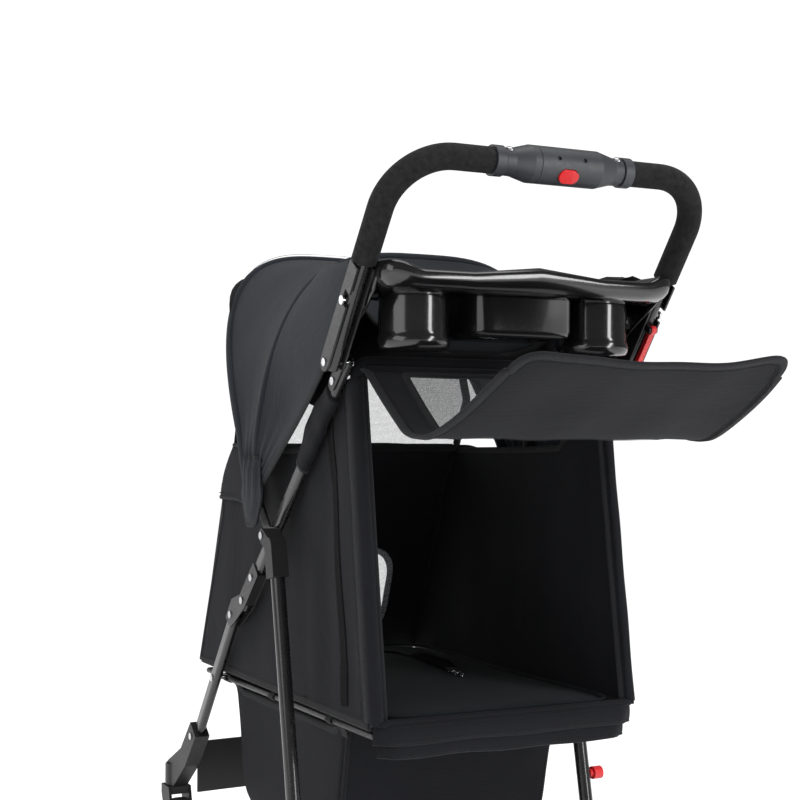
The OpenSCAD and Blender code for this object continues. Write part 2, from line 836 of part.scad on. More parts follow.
// Lower half of the rear flap, with rounded free corners
module flap_lower() {
    corner_r = 30;
    length = norm(flap_end - flap_low);
    free = rounded_points(taper(flap_fold_half - 8, fold_gap - 60, flap_end_half, length), corner_r);
    color([0.12, 0.12, 0.13]) flap_sheet(flap_low, flap_end, flap_t) intersection() {
        polygon(free);
        polygon(taper(flap_fold_half, fold_gap, flap_fold_half, length));
    }
}

// ---------- canopy ----------

// Rounded arch from the left foot over to the right foot
function arch(half, height, power) = [
    for (a = [0 : 6 : 180])
        [half * sign(cos(a)) * pow(abs(cos(a)), 2 / power), height * pow(sin(a), 2 / power)]
];

module in_bow_plane(angle) {
    translate([0, canopy_pivot[0], canopy_pivot[1]]) rotate([angle, 0, 0]) children();
}

// Flat bow of the canopy with an eye at each foot
module bow(angle, half, height, power, eye_x, w) {
    difference() {
        union() {
            in_bow_plane(angle) translate([0, 0, -2]) linear_extrude(4) difference() {
                polygon(arch(half, height, power));
                polygon(arch(half - w, height - w, power));
                translate([-300, -10]) square([600, 22]);
            }
            for (side = [LEFT, RIGHT]) in_bow_plane(angle)
                side_plate(side, eye_x, eye_x + 2.8) stadium([0, 0], [24, 0], 7);
        }
        for (side = [LEFT, RIGHT]) x_pin(side, canopy_pivot, 190, 215, hole_r);
    }
}

module canopy_front_bow() {
    color([0.12, 0.13, 0.15]) bow(front_bow_a, bow_half + 4, front_bow_h, 3, plate_out + 0.4, 8);
}

// Its feet stay outside the front bow's, which folds up beside them
module canopy_mid_bow() {
    foot_in = plate_out + 3.6;
    color([0.12, 0.13, 0.15]) difference() {
        bow(mid_bow_a, bow_half + 7.5, mid_bow_h, 2.6, foot_in, 8);
        for (side = [LEFT, RIGHT])
            side_plate(side, foot_in - 40, foot_in + fit_gap) translate(canopy_pivot) circle(60);
    }
}

// Thin slice of the canopy's space in one plane through its pivot
module bow_slab(angle, half, height, power) {
    in_bow_plane(angle) translate([0, 0, -0.5]) linear_extrude(1) intersection() {
        polygon(arch(half, height, power));
        translate([-300, 50]) square([600, 500]);
    }
}

// Curved sheet between two planes; each end is [angle, half width, height, power]
module cover(a, b) {
    t = 3.5;
    past = sign(b[0] - a[0]) * 3;
    difference() {
        hull() {
            bow_slab(a[0], a[1], a[2], a[3]);
            bow_slab(b[0], b[1], b[2], b[3]);
        }
        hull() {
            bow_slab(a[0] - past, a[1] - t, a[2] - t, a[3]);
            bow_slab(b[0] + past, b[1] - t, b[2] - t, b[3]);
        }
    }
}

// Canopy from behind the middle bow down to the rear hoop
module canopy_rear_cover() {
    color([0.19, 0.2, 0.23])
        cover([mid_bow_a + 3.5, bow_half, mid_bow_h - 2, 2.6], [143, bow_half - 8, 296, 6]);
}

// Canopy between the two bows
module canopy_front_cover() {
    color([0.19, 0.2, 0.23])
        cover([front_bow_a + 3.5, bow_half, front_bow_h - 4, 3],
            [mid_bow_a - 3.5, bow_half, mid_bow_h - 2, 2.6]);
}

upper_tube(LEFT);  // upper_tube_left
upper_tube(RIGHT);  // upper_tube_right
front_leg(LEFT);  // front_leg_left
front_leg(RIGHT);  // front_leg_right
lock_channel(LEFT);  // lock_channel_left
lock_channel(RIGHT);  // lock_channel_right
hub_plates();
front_socket(LEFT);  // front_socket_left
front_socket(RIGHT);  // front_socket_right
front_panel();
handle_channel(LEFT);  // handle_channel_left
handle_channel(RIGHT);  // handle_channel_right
cup_tray();
frame_rivets();
cabin_walls();
front_mesh();
rear_hoop();
handle_tube(LEFT);  // handle_tube_left
handle_tube(RIGHT);  // handle_tube_right
foam_grip(LEFT);  // foam_grip_left
foam_grip(RIGHT);  // foam_grip_right
handle_housing();
housing_cover();
grip_collars();
release_button();
button_spring();
latch_pins();
release_cables();
safety_hook();
rear_leg(LEFT);  // rear_leg_left
rear_leg(RIGHT);  // rear_leg_right
leg_caps();
rear_axle();
axle_foot(LEFT);  // axle_foot_left
axle_foot(RIGHT);  // axle_foot_right
tyre(LEFT, rear_wheel_x, rear_axle_at, rear_r, rear_w);  // rear_tyre_left
tyre(RIGHT, rear_wheel_x, rear_axle_at, rear_r, rear_w);  // rear_tyre_right
rear_rim(LEFT);  // rear_rim_left
rear_rim(RIGHT);  // rear_rim_right
brake_pedal(LEFT);  // brake_pedal_left
brake_pedal(RIGHT);  // brake_pedal_right
leg_knob(LEFT);  // leg_knob_left
leg_knob(RIGHT);  // leg_knob_right
caster_fork(LEFT);  // caster_fork_left
caster_fork(RIGHT);  // caster_fork_right
tyre(LEFT, side_x, front_axle_at, front_r, front_w);  // front_tyre_left
tyre(RIGHT, side_x, front_axle_at, front_r, front_w);  // front_tyre_right
front_rim(LEFT);  // front_rim_left
front_rim(RIGHT);  // front_rim_right
floor_frame();
floor_board();
floor_pad();
tether();
storage_basket();
flap_upper();
flap_lower();
canopy_front_bow();
canopy_mid_bow();
canopy_rear_cover();
canopy_front_cover();
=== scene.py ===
"""Looks of the folding pet stroller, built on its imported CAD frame.

Metres. +X is the user's right, +Y is forward, +Z is up. A place in the side view is (y, z).
"""
import math

import bpy
import numpy as np
from mathutils import Matrix, Vector
from mathutils.geometry import delaunay_2d_cdt


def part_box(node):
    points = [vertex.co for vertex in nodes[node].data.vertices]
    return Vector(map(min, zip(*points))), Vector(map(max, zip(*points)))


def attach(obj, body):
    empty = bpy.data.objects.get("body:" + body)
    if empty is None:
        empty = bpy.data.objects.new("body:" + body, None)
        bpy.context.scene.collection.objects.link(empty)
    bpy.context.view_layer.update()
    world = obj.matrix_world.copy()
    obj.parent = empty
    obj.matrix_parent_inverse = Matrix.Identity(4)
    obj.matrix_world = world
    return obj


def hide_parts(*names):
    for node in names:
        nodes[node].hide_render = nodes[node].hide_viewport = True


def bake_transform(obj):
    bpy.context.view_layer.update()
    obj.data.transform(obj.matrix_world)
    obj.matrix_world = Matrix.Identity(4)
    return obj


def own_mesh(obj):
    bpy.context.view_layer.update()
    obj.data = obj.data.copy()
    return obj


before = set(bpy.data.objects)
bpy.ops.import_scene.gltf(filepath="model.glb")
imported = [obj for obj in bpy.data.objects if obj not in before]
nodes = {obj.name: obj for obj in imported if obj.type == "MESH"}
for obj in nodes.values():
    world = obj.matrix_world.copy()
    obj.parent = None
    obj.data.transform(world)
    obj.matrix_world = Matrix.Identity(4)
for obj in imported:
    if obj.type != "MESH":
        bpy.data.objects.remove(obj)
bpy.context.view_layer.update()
SIDES = (("left", -1), ("right", 1))

# Side view points, as the CAD has them
PIVOT = np.array((-0.137, 0.752))
KNEE = np.array((0.198, 0.425))
CANOPY_PIVOT = np.array((0.115, 0.578))
FLAP_TOP = np.array((-0.131, 0.750))
FLAP_LOW = np.array((-0.3085, 0.657))
FLAP_END = np.array((-0.501, 0.7555))
HOOP_FOOT = np.array((-0.189, 0.336))
FRONT_FOOT = np.array((0.393, 0.334))
FRONT_FOLD = np.array((0.306, 0.577))
FRONT_TOP = np.array((0.258, 0.645))
HANDLE_LEAN = math.radians(36.7)
REACH = 0.274
WALL_X = 0.177


# ------------------------------------------------ small maths

def ease(x):
    x = np.clip(x, 0.0, 1.0)
    return x * x * (3 - 2 * x)


def unit(v):
    return v / np.maximum(np.linalg.norm(v, axis=-1, keepdims=True), 1e-12)


def ripple(p, scale, seed):
    """Smooth, repeatable unevenness from about -1 to 1, with waves about 1 / scale metres long."""
    rng = np.random.RandomState(seed)
    out = np.zeros(len(p))
    for k in range(7):
        d = rng.normal(size=p.shape[1])
        d = d / np.linalg.norm(d) * scale * rng.uniform(0.6, 1.7)
        out += np.sin(2 * np.pi * (p @ d) + rng.uniform(0, 6.28)) / 7
    return out * 1.8


def resample(line, step, closed):
    pts = np.array(line, float)
    if closed:
        pts = np.vstack([pts, pts[:1]])
    out = []
    for a, b in zip(pts[:-1], pts[1:]):
        n = max(1, int(round(np.linalg.norm(b - a) / step)))
        out += [a + (b - a) * k / n for k in range(n)]
    if not closed:
        out.append(pts[-1])
    return np.array(out)


def rounded(corners, r, steps=7):
    """Closed outline with each corner rounded; r is one radius or one for each corner."""
    pts, out = np.array(corners, float), []
    radii = r if hasattr(r, "__len__") else [r] * len(pts)
    for i, p in enumerate(pts):
        a, b = unit(pts[i - 1] - p), unit(pts[(i + 1) % len(pts)] - p)
        if radii[i] <= 0:
            out.append(p)
            continue
        half = math.acos(max(-1, min(1, float(a @ b)))) / 2
        reach = radii[i] / math.tan(half)
        for t in np.linspace(0, 1, steps):
            start, end = p + a * reach, p + b * reach
            out.append((1 - t) ** 2 * start + 2 * t * (1 - t) * p + t * t * end)
    return np.array(out)


def inside(p, loop):
    x, y = p[:, 0], p[:, 1]
    odd = np.zeros(len(p), bool)
    for (x0, y0), (x1, y1) in zip(loop, np.roll(loop, -1, axis=0)):
        if y0 == y1:
            continue
        crosses = (y0 > y) != (y1 > y)
        odd ^= crosses & (x < (x1 - x0) * (y - y0) / (y1 - y0) + x0)
    return odd


def edge_distance(p, loop):
    best = np.full(len(p), 1e9)
    for a, b in zip(loop, np.roll(loop, -1, axis=0)):
        d = b - a
        t = np.clip(((p - a) @ d) / max(d @ d, 1e-12), 0, 1)
        best = np.minimum(best, np.linalg.norm(p - a - t[:, None] * d, axis=1))
    return best


def inset(loop, by, closed=True):
    """The outline moved inwards by a small distance, for an outline that turns anticlockwise."""
    pts = np.array(loop, float)
    if closed:
        t = unit(np.roll(pts, -1, axis=0) - np.roll(pts, 1, axis=0))
    else:
        t = unit(np.gradient(pts, axis=0))
    return pts + by * np.stack([-t[:, 1], t[:, 0]], 1)


# ------------------------------------------------ mesh makers

def make(name, verts, faces, mat, smooth=True):
    me = bpy.data.meshes.new(name)
    me.from_pydata(np.asarray(verts, float).tolist(), [], [list(f) for f in faces])
    me.validate()
    me.polygons.foreach_set("use_smooth", [smooth] * len(me.polygons))
    me.materials.append(mat)
    me.update()
    ob = bpy.data.objects.new(name, me)
    bpy.context.scene.collection.objects.link(ob)
    return ob


def thicken(ob, t, offset=0.0):
    m = ob.modifiers.new("thickness", "SOLIDIFY")
    m.thickness, m.offset = t, offset
    return ob


def cloth_grid(name, p, mat, t=0.0015, closed=False):
    """A sheet from an array of points, rows by columns."""
    n, m = p.shape[:2]
    faces = [
        (i * m + j, i * m + j + 1, ((i + 1) % n) * m + j + 1, ((i + 1) % n) * m + j)
        for i in range(n if closed else n - 1)
        for j in range(m - 1)
    ]
    ob = make(name, p.reshape(-1, 3), faces, mat)
    return thicken(ob, t) if t else ob


def cut_sheet(name, outline, holes, step, to3d, mat, t=0.0015):
    """A sheet cut to a flat outline with holes, then carried into place by to3d."""
    loops = [resample(x, step, True) for x in [outline, *holes]]
    lo, hi = loops[0].min(0), loops[0].max(0)
    xs, ys = (np.arange(lo[k] + step / 2, hi[k], step) for k in (0, 1))
    grid = np.stack(np.meshgrid(xs, ys), -1).reshape(-1, 2)

    def kept(p):
        ok = inside(p, loops[0])
        for h in loops[1:]:
            ok &= ~inside(p, h)
        return ok

    grid = grid[kept(grid)]
    far = np.min([edge_distance(grid, x) for x in loops], axis=0) > 0.45 * step
    flat = np.vstack([*loops, grid[far]])
    edges, at = [], 0
    for x in loops:
        edges += [(at + k, at + (k + 1) % len(x)) for k in range(len(x))]
        at += len(x)
    verts, _, faces, *_ = delaunay_2d_cdt([Vector(v) for v in flat], edges, [], 0, 1e-7)
    verts = np.array([tuple(v) for v in verts])
    faces = [f for f in faces if len(f) > 2]
    middle = np.array([verts[list(f)].mean(0) for f in faces])
    faces = [f for f, ok in zip(faces, kept(middle)) if ok]
    ob = make(name, to3d(verts), faces, mat)
    return thicken(ob, t) if t else ob


def normals_of(to3d, p, e=1e-4):
    du = to3d(p + (e, 0)) - to3d(p - (e, 0))
    dv = to3d(p + (0, e)) - to3d(p - (0, e))
    return unit(np.cross(du, dv))


def sweep(name, path, w, t, mat, normals=None, closed=False, sides=10, square=2.0):
    """A band, tube or piping along a path: w across and t through, one or for each point."""
    path = np.array(path, float)
    n = len(path)
    if closed:
        tan = unit(np.roll(path, -1, axis=0) - np.roll(path, 1, axis=0))
    else:
        tan = unit(np.gradient(path, axis=0))
    if normals is None:
        ref = np.array((0.0, 0, 1)) if abs(tan[0][2]) < 0.9 else np.array((0.0, 1, 0))
        rows = [unit(np.cross(tan[0], np.cross(ref, tan[0])))]
        for k in range(1, n):
            v = rows[-1] - tan[k] * (rows[-1] @ tan[k])
            rows.append(v / np.linalg.norm(v))
        normals = np.array(rows)
    normals = np.broadcast_to(np.array(normals, float), path.shape)
    normals = unit(normals - tan * (normals * tan).sum(1, keepdims=True))
    side = np.cross(tan, normals)
    w, t = (np.broadcast_to(np.array(v, float), (n,)) / 2 for v in (w, t))
    a = np.linspace(0, 2 * np.pi, sides, endpoint=False)
    ca, sa = (np.sign(f(a)) * np.abs(f(a)) ** (2 / square) for f in (np.cos, np.sin))
    ring = (
        path[:, None]
        + side[:, None] * (w[:, None] * ca)[..., None]
        + normals[:, None] * (t[:, None] * sa)[..., None]
    )
    faces = [
        (i * sides + j, i * sides + (j + 1) % sides,
         ((i + 1) % n) * sides + (j + 1) % sides, ((i + 1) % n) * sides + j)
        for i in range(n if closed else n - 1)
        for j in range(sides)
    ]
    if not closed:
        faces += [tuple(reversed(range(sides))), tuple(range((n - 1) * sides, n * sides))]
    return make(name, ring.reshape(-1, 3), faces, mat)


def stitch_points(path, pitch):
    path = np.array(path, float)
    run = np.concatenate([[0], np.cumsum(np.linalg.norm(np.diff(path, axis=0), axis=1))])
    s = np.arange(pitch / 2, run[-1], pitch)
    return np.stack([np.interp(s, run, path[:, k]) for k in range(path.shape[1])], 1)


def stitches(name, rows, mat, pitch=0.0048, length=0.0031, r=0.00042):
    """Sewn thread: rows is a list of (path, normals, lift). Each stitch is a small spindle."""
    verts, faces = [], []
    for path, nrm, lift in rows:
        path = np.array(path, float)
        nrm = np.broadcast_to(np.array(nrm, float), path.shape)
        at = stitch_points(np.hstack([path, nrm]), pitch)
        if len(at) < 2:
            continue
        p, nn = at[:, :3], unit(at[:, 3:])
        tan = unit(np.gradient(p, axis=0))
        side = np.cross(tan, nn)
        p = p + nn * lift
        for q, d, s, m in zip(p, tan, side, nn):
            b = len(verts)
            tip = d * length / 2
            verts += [q - tip, q + s * r, q + m * r, q - s * r, q - m * r, q + tip]
            for k in range(4):
                here, there = b + 1 + k, b + 1 + (k + 1) % 4
                faces += [(b, there, here), (b + 5, here, there)]
    return make(name, verts, faces, mat)


def on_sheet(to3d, line):
    """A line of flat points carried onto a sheet: (path, normals)."""
    p = np.array(line, float)
    return to3d(p), normals_of(to3d, p)


def joined(name, objects):
    """Several plain meshes made into one piece."""
    verts, faces, at = [], [], 0
    for o in objects:
        verts += [o.matrix_world @ v.co for v in o.data.vertices]
        faces += [tuple(at + k for k in p.vertices) for p in o.data.polygons]
        at += len(o.data.vertices)
    ob = make(name, [tuple(v) for v in verts], faces, objects[0].data.materials[0])
    for o in objects:
        bpy.data.objects.remove(o)
    return ob


def puff(ob, cap, pressure=4.0, voxel=0.006):
    """Fills a closed pad with air by cloth simulation, and caps how far any point moves."""
    m = ob.modifiers.new("remesh", "REMESH")
    m.mode, m.voxel_size = "VOXEL", voxel
    bpy.context.view_layer.update()
    dg = bpy.context.evaluated_depsgraph_get()
    me = bpy.data.meshes.new_from_object(ob.evaluated_get(dg))
    ob.modifiers.clear()
    ob.data = me
    rest = np.array([tuple(v.co) for v in me.vertices])
    c = ob.modifiers.new("air", "CLOTH")
    c.settings.use_pressure = True
    c.settings.uniform_pressure_force = pressure
    c.settings.effector_weights.gravity = 0
    c.settings.quality = 5
    scene = bpy.context.scene
    for f in range(1, 21):
        scene.frame_set(f)
    dg = bpy.context.evaluated_depsgraph_get()
    now = np.array([tuple(v.co) for v in ob.evaluated_get(dg).data.vertices])
    scene.frame_set(1)
    ob.modifiers.clear()
    move = now - rest
    size = np.linalg.norm(move, axis=1, keepdims=True)
    now = rest + move * np.minimum(1, cap / np.maximum(size, 1e-9))
    me.vertices.foreach_set("co", now.astype(np.float32).ravel())
    me.polygons.foreach_set("use_smooth", [True] * len(me.polygons))
    me.update()
    s = ob.modifiers.new("smooth", "SUBSURF")
    s.levels = s.render_levels = 1
    return ob


# ------------------------------------------------ materials

class Mat:
    """A Principled material, with short calls for the nodes that drive it."""

    def __init__(self, name, colour, rough, **inputs):
        self.m = bpy.data.materials.new(name)
        self.m.use_nodes = True
        self.tree = self.m.node_tree
        self.b = self.tree.nodes["Principled BSDF"]
        self.b.inputs["Base Color"].default_value = (*colour, 1)
        self.b.inputs["Roughness"].default_value = rough
        for k, v in inputs.items():
            self.b.inputs[k.replace("_", " ")].default_value = v
        self.at = self.node("TexCoord", "Object")

    def node(self, kind, out, props=None, **ins):
        n = self.tree.nodes.new("ShaderNode" + kind)
        for k, v in (props or {}).items():
            setattr(n, k, v)
        for k, v in ins.items():
            s = n.inputs[int(k[1:]) if k[0] == "i" and k[1:].isdigit() else k]
            if isinstance(v, bpy.types.NodeSocket):
                self.tree.links.new(v, s)
            else:
                s.default_value = v
        return n.outputs[out]

    def noise(self, scale, detail=2.0, rough=0.5):
        return self.node("TexNoise", 0, Vector=self.at, Scale=scale, Detail=detail, Roughness=rough)

    def ramp(self, value, a, b, lo=0.0, hi=1.0):
        return self.node("MapRange", 0, i0=value, i1=a, i2=b, i3=lo, i4=hi)

    def math(self, op, a, b=0.0):
        return self.node("Math", 0, {"operation": op}, i0=a, i1=b)

    def mix(self, fac, a, b):
        four = [c if isinstance(c, bpy.types.NodeSocket) else (*c, 1) for c in (a, b)]
        return self.node("Mix", 2, {"data_type": "RGBA"}, i0=fac, i6=four[0], i7=four[1])

    def threads(self, pitch):
        """Height of a woven grain that runs along all three axes."""
        k = 2 * math.pi / pitch
        v = self.node("VectorMath", 0, {"operation": "MULTIPLY"}, i0=self.at, i1=(k, k, k))
        v = self.node("VectorMath", 0, {"operation": "SINE"}, i0=v)
        return self.node("VectorMath", "Value", {"operation": "DOT_PRODUCT"}, i0=v, i1=(1, 1, 1))

    def bump(self, height, distance, strength=1.0, normal=None):
        ins = {"Height": height, "Distance": distance, "Strength": strength}
        if normal is not None:
            ins["Normal"] = normal
        return self.node("Bump", 0, **ins)

    def use(self, name, value):
        self.tree.links.new(value, self.b.inputs[name])
        return self


def shade(c, k):
    return tuple(x * k for x in c)


def fabric(name, colour, pitch=0.0013, rough=0.82, sheen=0.04, crease=0.6, grain=0.6):
    """Woven polyester: threads, slow colour change, soft creases."""
    m = Mat(name, colour, rough, Sheen_Weight=sheen, Sheen_Roughness=0.45, Specular_IOR_Level=0.12)
    weave = m.threads(pitch)
    broad = m.ramp(m.noise(7, 3), 0.3, 0.7)
    fine = m.ramp(m.noise(700, 2), 0.3, 0.7)
    c = m.mix(broad, shade(colour, 0.8), shade(colour, 1.22))
    c = m.mix(m.math("MULTIPLY", fine, 0.35), c, shade(colour, 1.7))
    m.use("Base Color", c)
    m.use("Roughness", m.ramp(broad, 0, 1, rough - 0.06, rough + 0.06))
    n = m.bump(m.noise(16, 3), 0.006, crease * 0.35)
    n = m.bump(m.noise(55, 2), 0.0016, crease * 0.35, n)
    n = m.bump(weave, 0.00012, grain, n)
    m.use("Normal", n)
    return m.m


def hard(name, colour, rough, grain=0.0, coat=0.0, wear=0.25, scuff=0.05, edge=0.0007, **more):
    """Moulded or painted surface: softened edges that have worn a little, and faint scuffs."""
    m = Mat(name, colour, rough, Coat_Weight=coat, Coat_Roughness=0.06, **more)
    soft = m.node("Bevel", 0, {"samples": 4}, Radius=edge)
    flat = m.node("NewGeometry", "True Normal")
    turn = m.node("VectorMath", "Value", {"operation": "DOT_PRODUCT"}, i0=soft, i1=flat)
    rim = m.ramp(turn, 0.985, 0.8)
    rub = m.math("MULTIPLY", rim, m.ramp(m.noise(90, 4), 0.42, 0.66, 0, wear))
    patch = m.ramp(m.noise(12, 4), 0.35, 0.75)
    c = m.mix(patch, shade(colour, 0.85), shade(colour, 1.2))
    c = m.mix(rub, c, tuple(min(1, 2.6 * x + 0.05) for x in colour))
    m.use("Base Color", c)
    fine = m.ramp(m.noise(240, 3), 0.3, 0.7, -scuff, scuff)
    m.use("Roughness", m.math("ADD", m.math("ADD", fine, m.math("MULTIPLY", patch, scuff)), rough))
    n = m.bump(m.noise(900, 2), 0.0002, grain, soft) if grain else soft
    m.use("Normal", n)
    return m.m


def foam_material():
    m = Mat("soft_foam", (0.0135, 0.0135, 0.014), 0.95, Specular_IOR_Level=0.12, Sheen_Weight=0.03)
    cells = m.node("TexVoronoi", 0, Vector=m.at, Scale=900.0)
    patch = m.ramp(m.noise(160, 4), 0.3, 0.7)
    m.use("Base Color", m.mix(patch, (0.009, 0.009, 0.0095), (0.018, 0.018, 0.019)))
    n = m.bump(m.noise(45, 3), 0.0012, 0.25)
    m.use("Normal", m.bump(cells, 0.0005, 0.5, n))
    return m.m


def net_material(name, colour, low, high):
    """Fine knitted net, seen as a grain of threads over clear holes."""
    m = Mat(name, colour, 0.7, Specular_IOR_Level=0.15)
    grain = m.noise(620, 3, 0.7)
    lines = m.threads(0.0031)
    height = m.math("ADD", grain, m.math("MULTIPLY", lines, 0.02))
    m.use("Alpha", m.ramp(height, 0.38, 0.64, low, high))
    patch = m.ramp(m.noise(9, 3), 0.3, 0.7)
    m.use("Base Color", m.mix(patch, shade(colour, 0.85), shade(colour, 1.1)))
    m.use("Normal", m.bump(height, 0.0002, 0.4))
    return m.m


def thread_material():
    m = Mat("sewing_thread", (0.030, 0.031, 0.035), 0.6, Specular_IOR_Level=0.3)
    patch = m.ramp(m.noise(300), 0.3, 0.7)
    m.use("Base Color", m.mix(patch, (0.011, 0.012, 0.014), (0.026, 0.027, 0.030)))
    return m.m


MAT = {
    "tube_steel": hard("painted_tube", (0.012, 0.012, 0.013), 0.24,
                       coat=0.35, wear=0.15, scuff=0.04),
    "dark_steel": hard("painted_bracket", (0.014, 0.014, 0.0155), 0.38, grain=0.12, wear=0.5),
    "black_plastic": hard("moulded_black", (0.010, 0.010, 0.011), 0.5, grain=0.35, wear=0.2),
    "gloss_plastic": hard("tray_gloss", (0.006, 0.006, 0.0065), 0.16,
                          coat=0.5, wear=0.05, scuff=0.03, edge=0.0015),
    "grey_plastic": hard("grip_grey", (0.030, 0.032, 0.037), 0.46,
                         grain=0.3, wear=0.2, edge=0.0012),
    "red_plastic": hard("signal_red", (0.62, 0.012, 0.015), 0.28, coat=0.3, wear=0.1),
    "bright_steel": hard("plated_steel", (0.62, 0.62, 0.64), 0.22,
                         wear=0.05, scuff=0.08, Metallic=1.0),
    "tyre_rubber": hard("tyre_rubber", (0.014, 0.014, 0.014), 0.78, grain=0.6, wear=0.4),
    "foam": foam_material(),
    "black_fabric": fabric("black_polyester", (0.0070, 0.0073, 0.0092)),
    "canopy_fabric": fabric("canopy_polyester", (0.0125, 0.0150, 0.0190),
                            sheen=0.07, crease=0.8),
    "pad_fabric": fabric("pad_cover", (0.0085, 0.0112, 0.0135), pitch=0.001, crease=0.35),
    "net": net_material("clear_net", (0.60, 0.63, 0.66), 0.30, 0.58),
}
BLACK_NET = net_material("dark_net", (0.050, 0.052, 0.055), 0.46, 0.86)
BINDING = fabric("grosgrain_binding", (0.0090, 0.0094, 0.0112), pitch=0.0009,
                 rough=0.7, sheen=0.07, crease=0.2, grain=1.0)
THREAD = thread_material()
STRIP = fabric("hook_strip", (0.006, 0.006, 0.0066), pitch=0.0018,
               rough=0.95, sheen=0.0, crease=0.2, grain=1.0)

SLOT_OF = [
    (("upper_tube", "front_leg", "handle_tube", "rear_leg_"), "tube_steel"),
    (("lock_channel", "hub_plates", "rear_hoop", "handle_channel", "floor_frame"), "dark_steel"),
    (("cup_tray",), "gloss_plastic"),
    (("foam_grip",), "foam"),
    (("handle_housing", "housing_cover", "grip_collars"), "grey_plastic"),
    (("release_button", "safety_hook", "leg_knob", "brake_pedal"), "red_plastic"),
    (("frame_rivets", "button_spring", "latch_pins", "release_cables", "rear_axle"),
     "bright_steel"),
    (("rear_tyre", "front_tyre"), "tyre_rubber"),
    (("canopy_front_cover", "canopy_rear_cover"), "canopy_fabric"),
    (("floor_pad",), "pad_fabric"),
    (("front_mesh",), "net"),
    (("cabin_walls", "storage_basket", "flap_", "tether", "floor_board"), "black_fabric"),
    (("",), "black_plastic"),
]
for name, ob in nodes.items():
    slot = next(s for starts, s in SLOT_OF if name.startswith(starts))
    ob.data.materials.clear()
    ob.data.materials.append(MAT[slot])


def settle(ob, body, slot, replaces=()):
    """A finished piece is parented to its body when that is one name, or else keeps its place in the
    world, and hides the plain CAD solids it stands for.
    """
    if isinstance(body, str):
        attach(ob, body)
    else:
        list(body)
        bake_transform(ob)
    if replaces:
        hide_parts(*replaces)
    return ob


def trim(name, path, w, t, normals, body, mat=BINDING, slot="black_fabric", **shape):
    """A band or piping that is settled as soon as it is swept."""
    return settle(sweep(name, path, w, t, mat, normals, **shape), body, slot)


def sew(name, rows, body, slot="black_fabric"):
    return settle(stitches(name, rows, THREAD), body, slot)


# ------------------------------------------------ canopy

def bow_point(angle, half, height, power, a):
    """Place on a bow's arch; a runs from 0 at the left foot to pi at the right foot."""
    c, s = np.cos(a), np.sin(a)
    x = -half * np.sign(c) * np.abs(c) ** (2 / power)
    h = height * np.abs(s) ** (2 / power)
    t = np.radians(angle)
    y, z = CANOPY_PIVOT[0] + h * np.cos(t), CANOPY_PIVOT[1] + h * np.sin(t)
    return np.stack(np.broadcast_arrays(x, y, z), -1)


ARCH = np.pi * (0.5 - 0.5 * np.cos(np.linspace(0, np.pi, 109)))
INNER = ARCH[4:-4]
FOOT_X = 0.2085
PLEATS, PLEAT_DEPTH = 4.5, 0.0032
BOWS = {  # angle, half width, height, power
    "rear": (142.0, 0.1915, 0.2975, 5.0),
    "mid": (104.0, 0.2120, 0.3365, 3.3),
    "front": (56.0, 0.2035, 0.4265, 3.0),
}


def rear_edge(a):
    """Rear edge of the cover: up beside the channel, over the tray's corner, down before it."""
    fold = np.degrees(np.minimum(a, np.pi - a))
    turn = 59.0
    z = CANOPY_PIVOT[1] + 0.3265 * np.sin(np.radians(np.minimum(fold, turn))) ** 0.769
    y = np.interp(z, [0.578, 0.633, 0.695, 0.752, 0.79, 0.83, 0.856, 0.868],
                  [0.115, 0.042, -0.043, -0.109, -0.141, -0.168, -0.184, -0.190])
    x = np.interp(z, [0.578, 0.70, 0.80, 0.868], [FOOT_X, 0.2045, 0.2020, 0.1995])
    over = np.array([
        (0.1995, -0.190, 0.868), (0.187, -0.135, 0.873), (0.166, -0.076, 0.867),
        (0.152, -0.068, 0.834), (0.127, -0.088, 0.790), (0.088, -0.108, 0.767),
        (0.0, -0.118, 0.761),
    ])
    u = (fold - turn).clip(0) / (90 - turn)
    stops = [0, 0.14, 0.32, 0.46, 0.63, 0.80, 1]
    top = np.stack([np.interp(u, stops, over[:, k]) for k in range(3)], -1)
    p = np.where((fold > turn)[:, None], top, np.stack([x, y, z], -1))
    p[:, 0] *= np.where(a < np.pi / 2, -1, 1)
    for _ in range(5):
        p[1:-1] = 0.25 * p[:-2] + 0.5 * p[1:-1] + 0.25 * p[2:]
    return p


def edge_of(which):
    return rear_edge(ARCH) if which == "rear" else bow_point(*BOWS[which], ARCH)


def drawn_to_foot(p, r, x):
    """Points near the bows' pivot drawn to x from the middle, where every bow ends."""
    low = 1 - ease((r - 0.03) / 0.09)
    p[:, 0] = p[:, 0] * (1 - low) + np.where(p[:, 0] < 0, -1, 1) * x * low
    return p


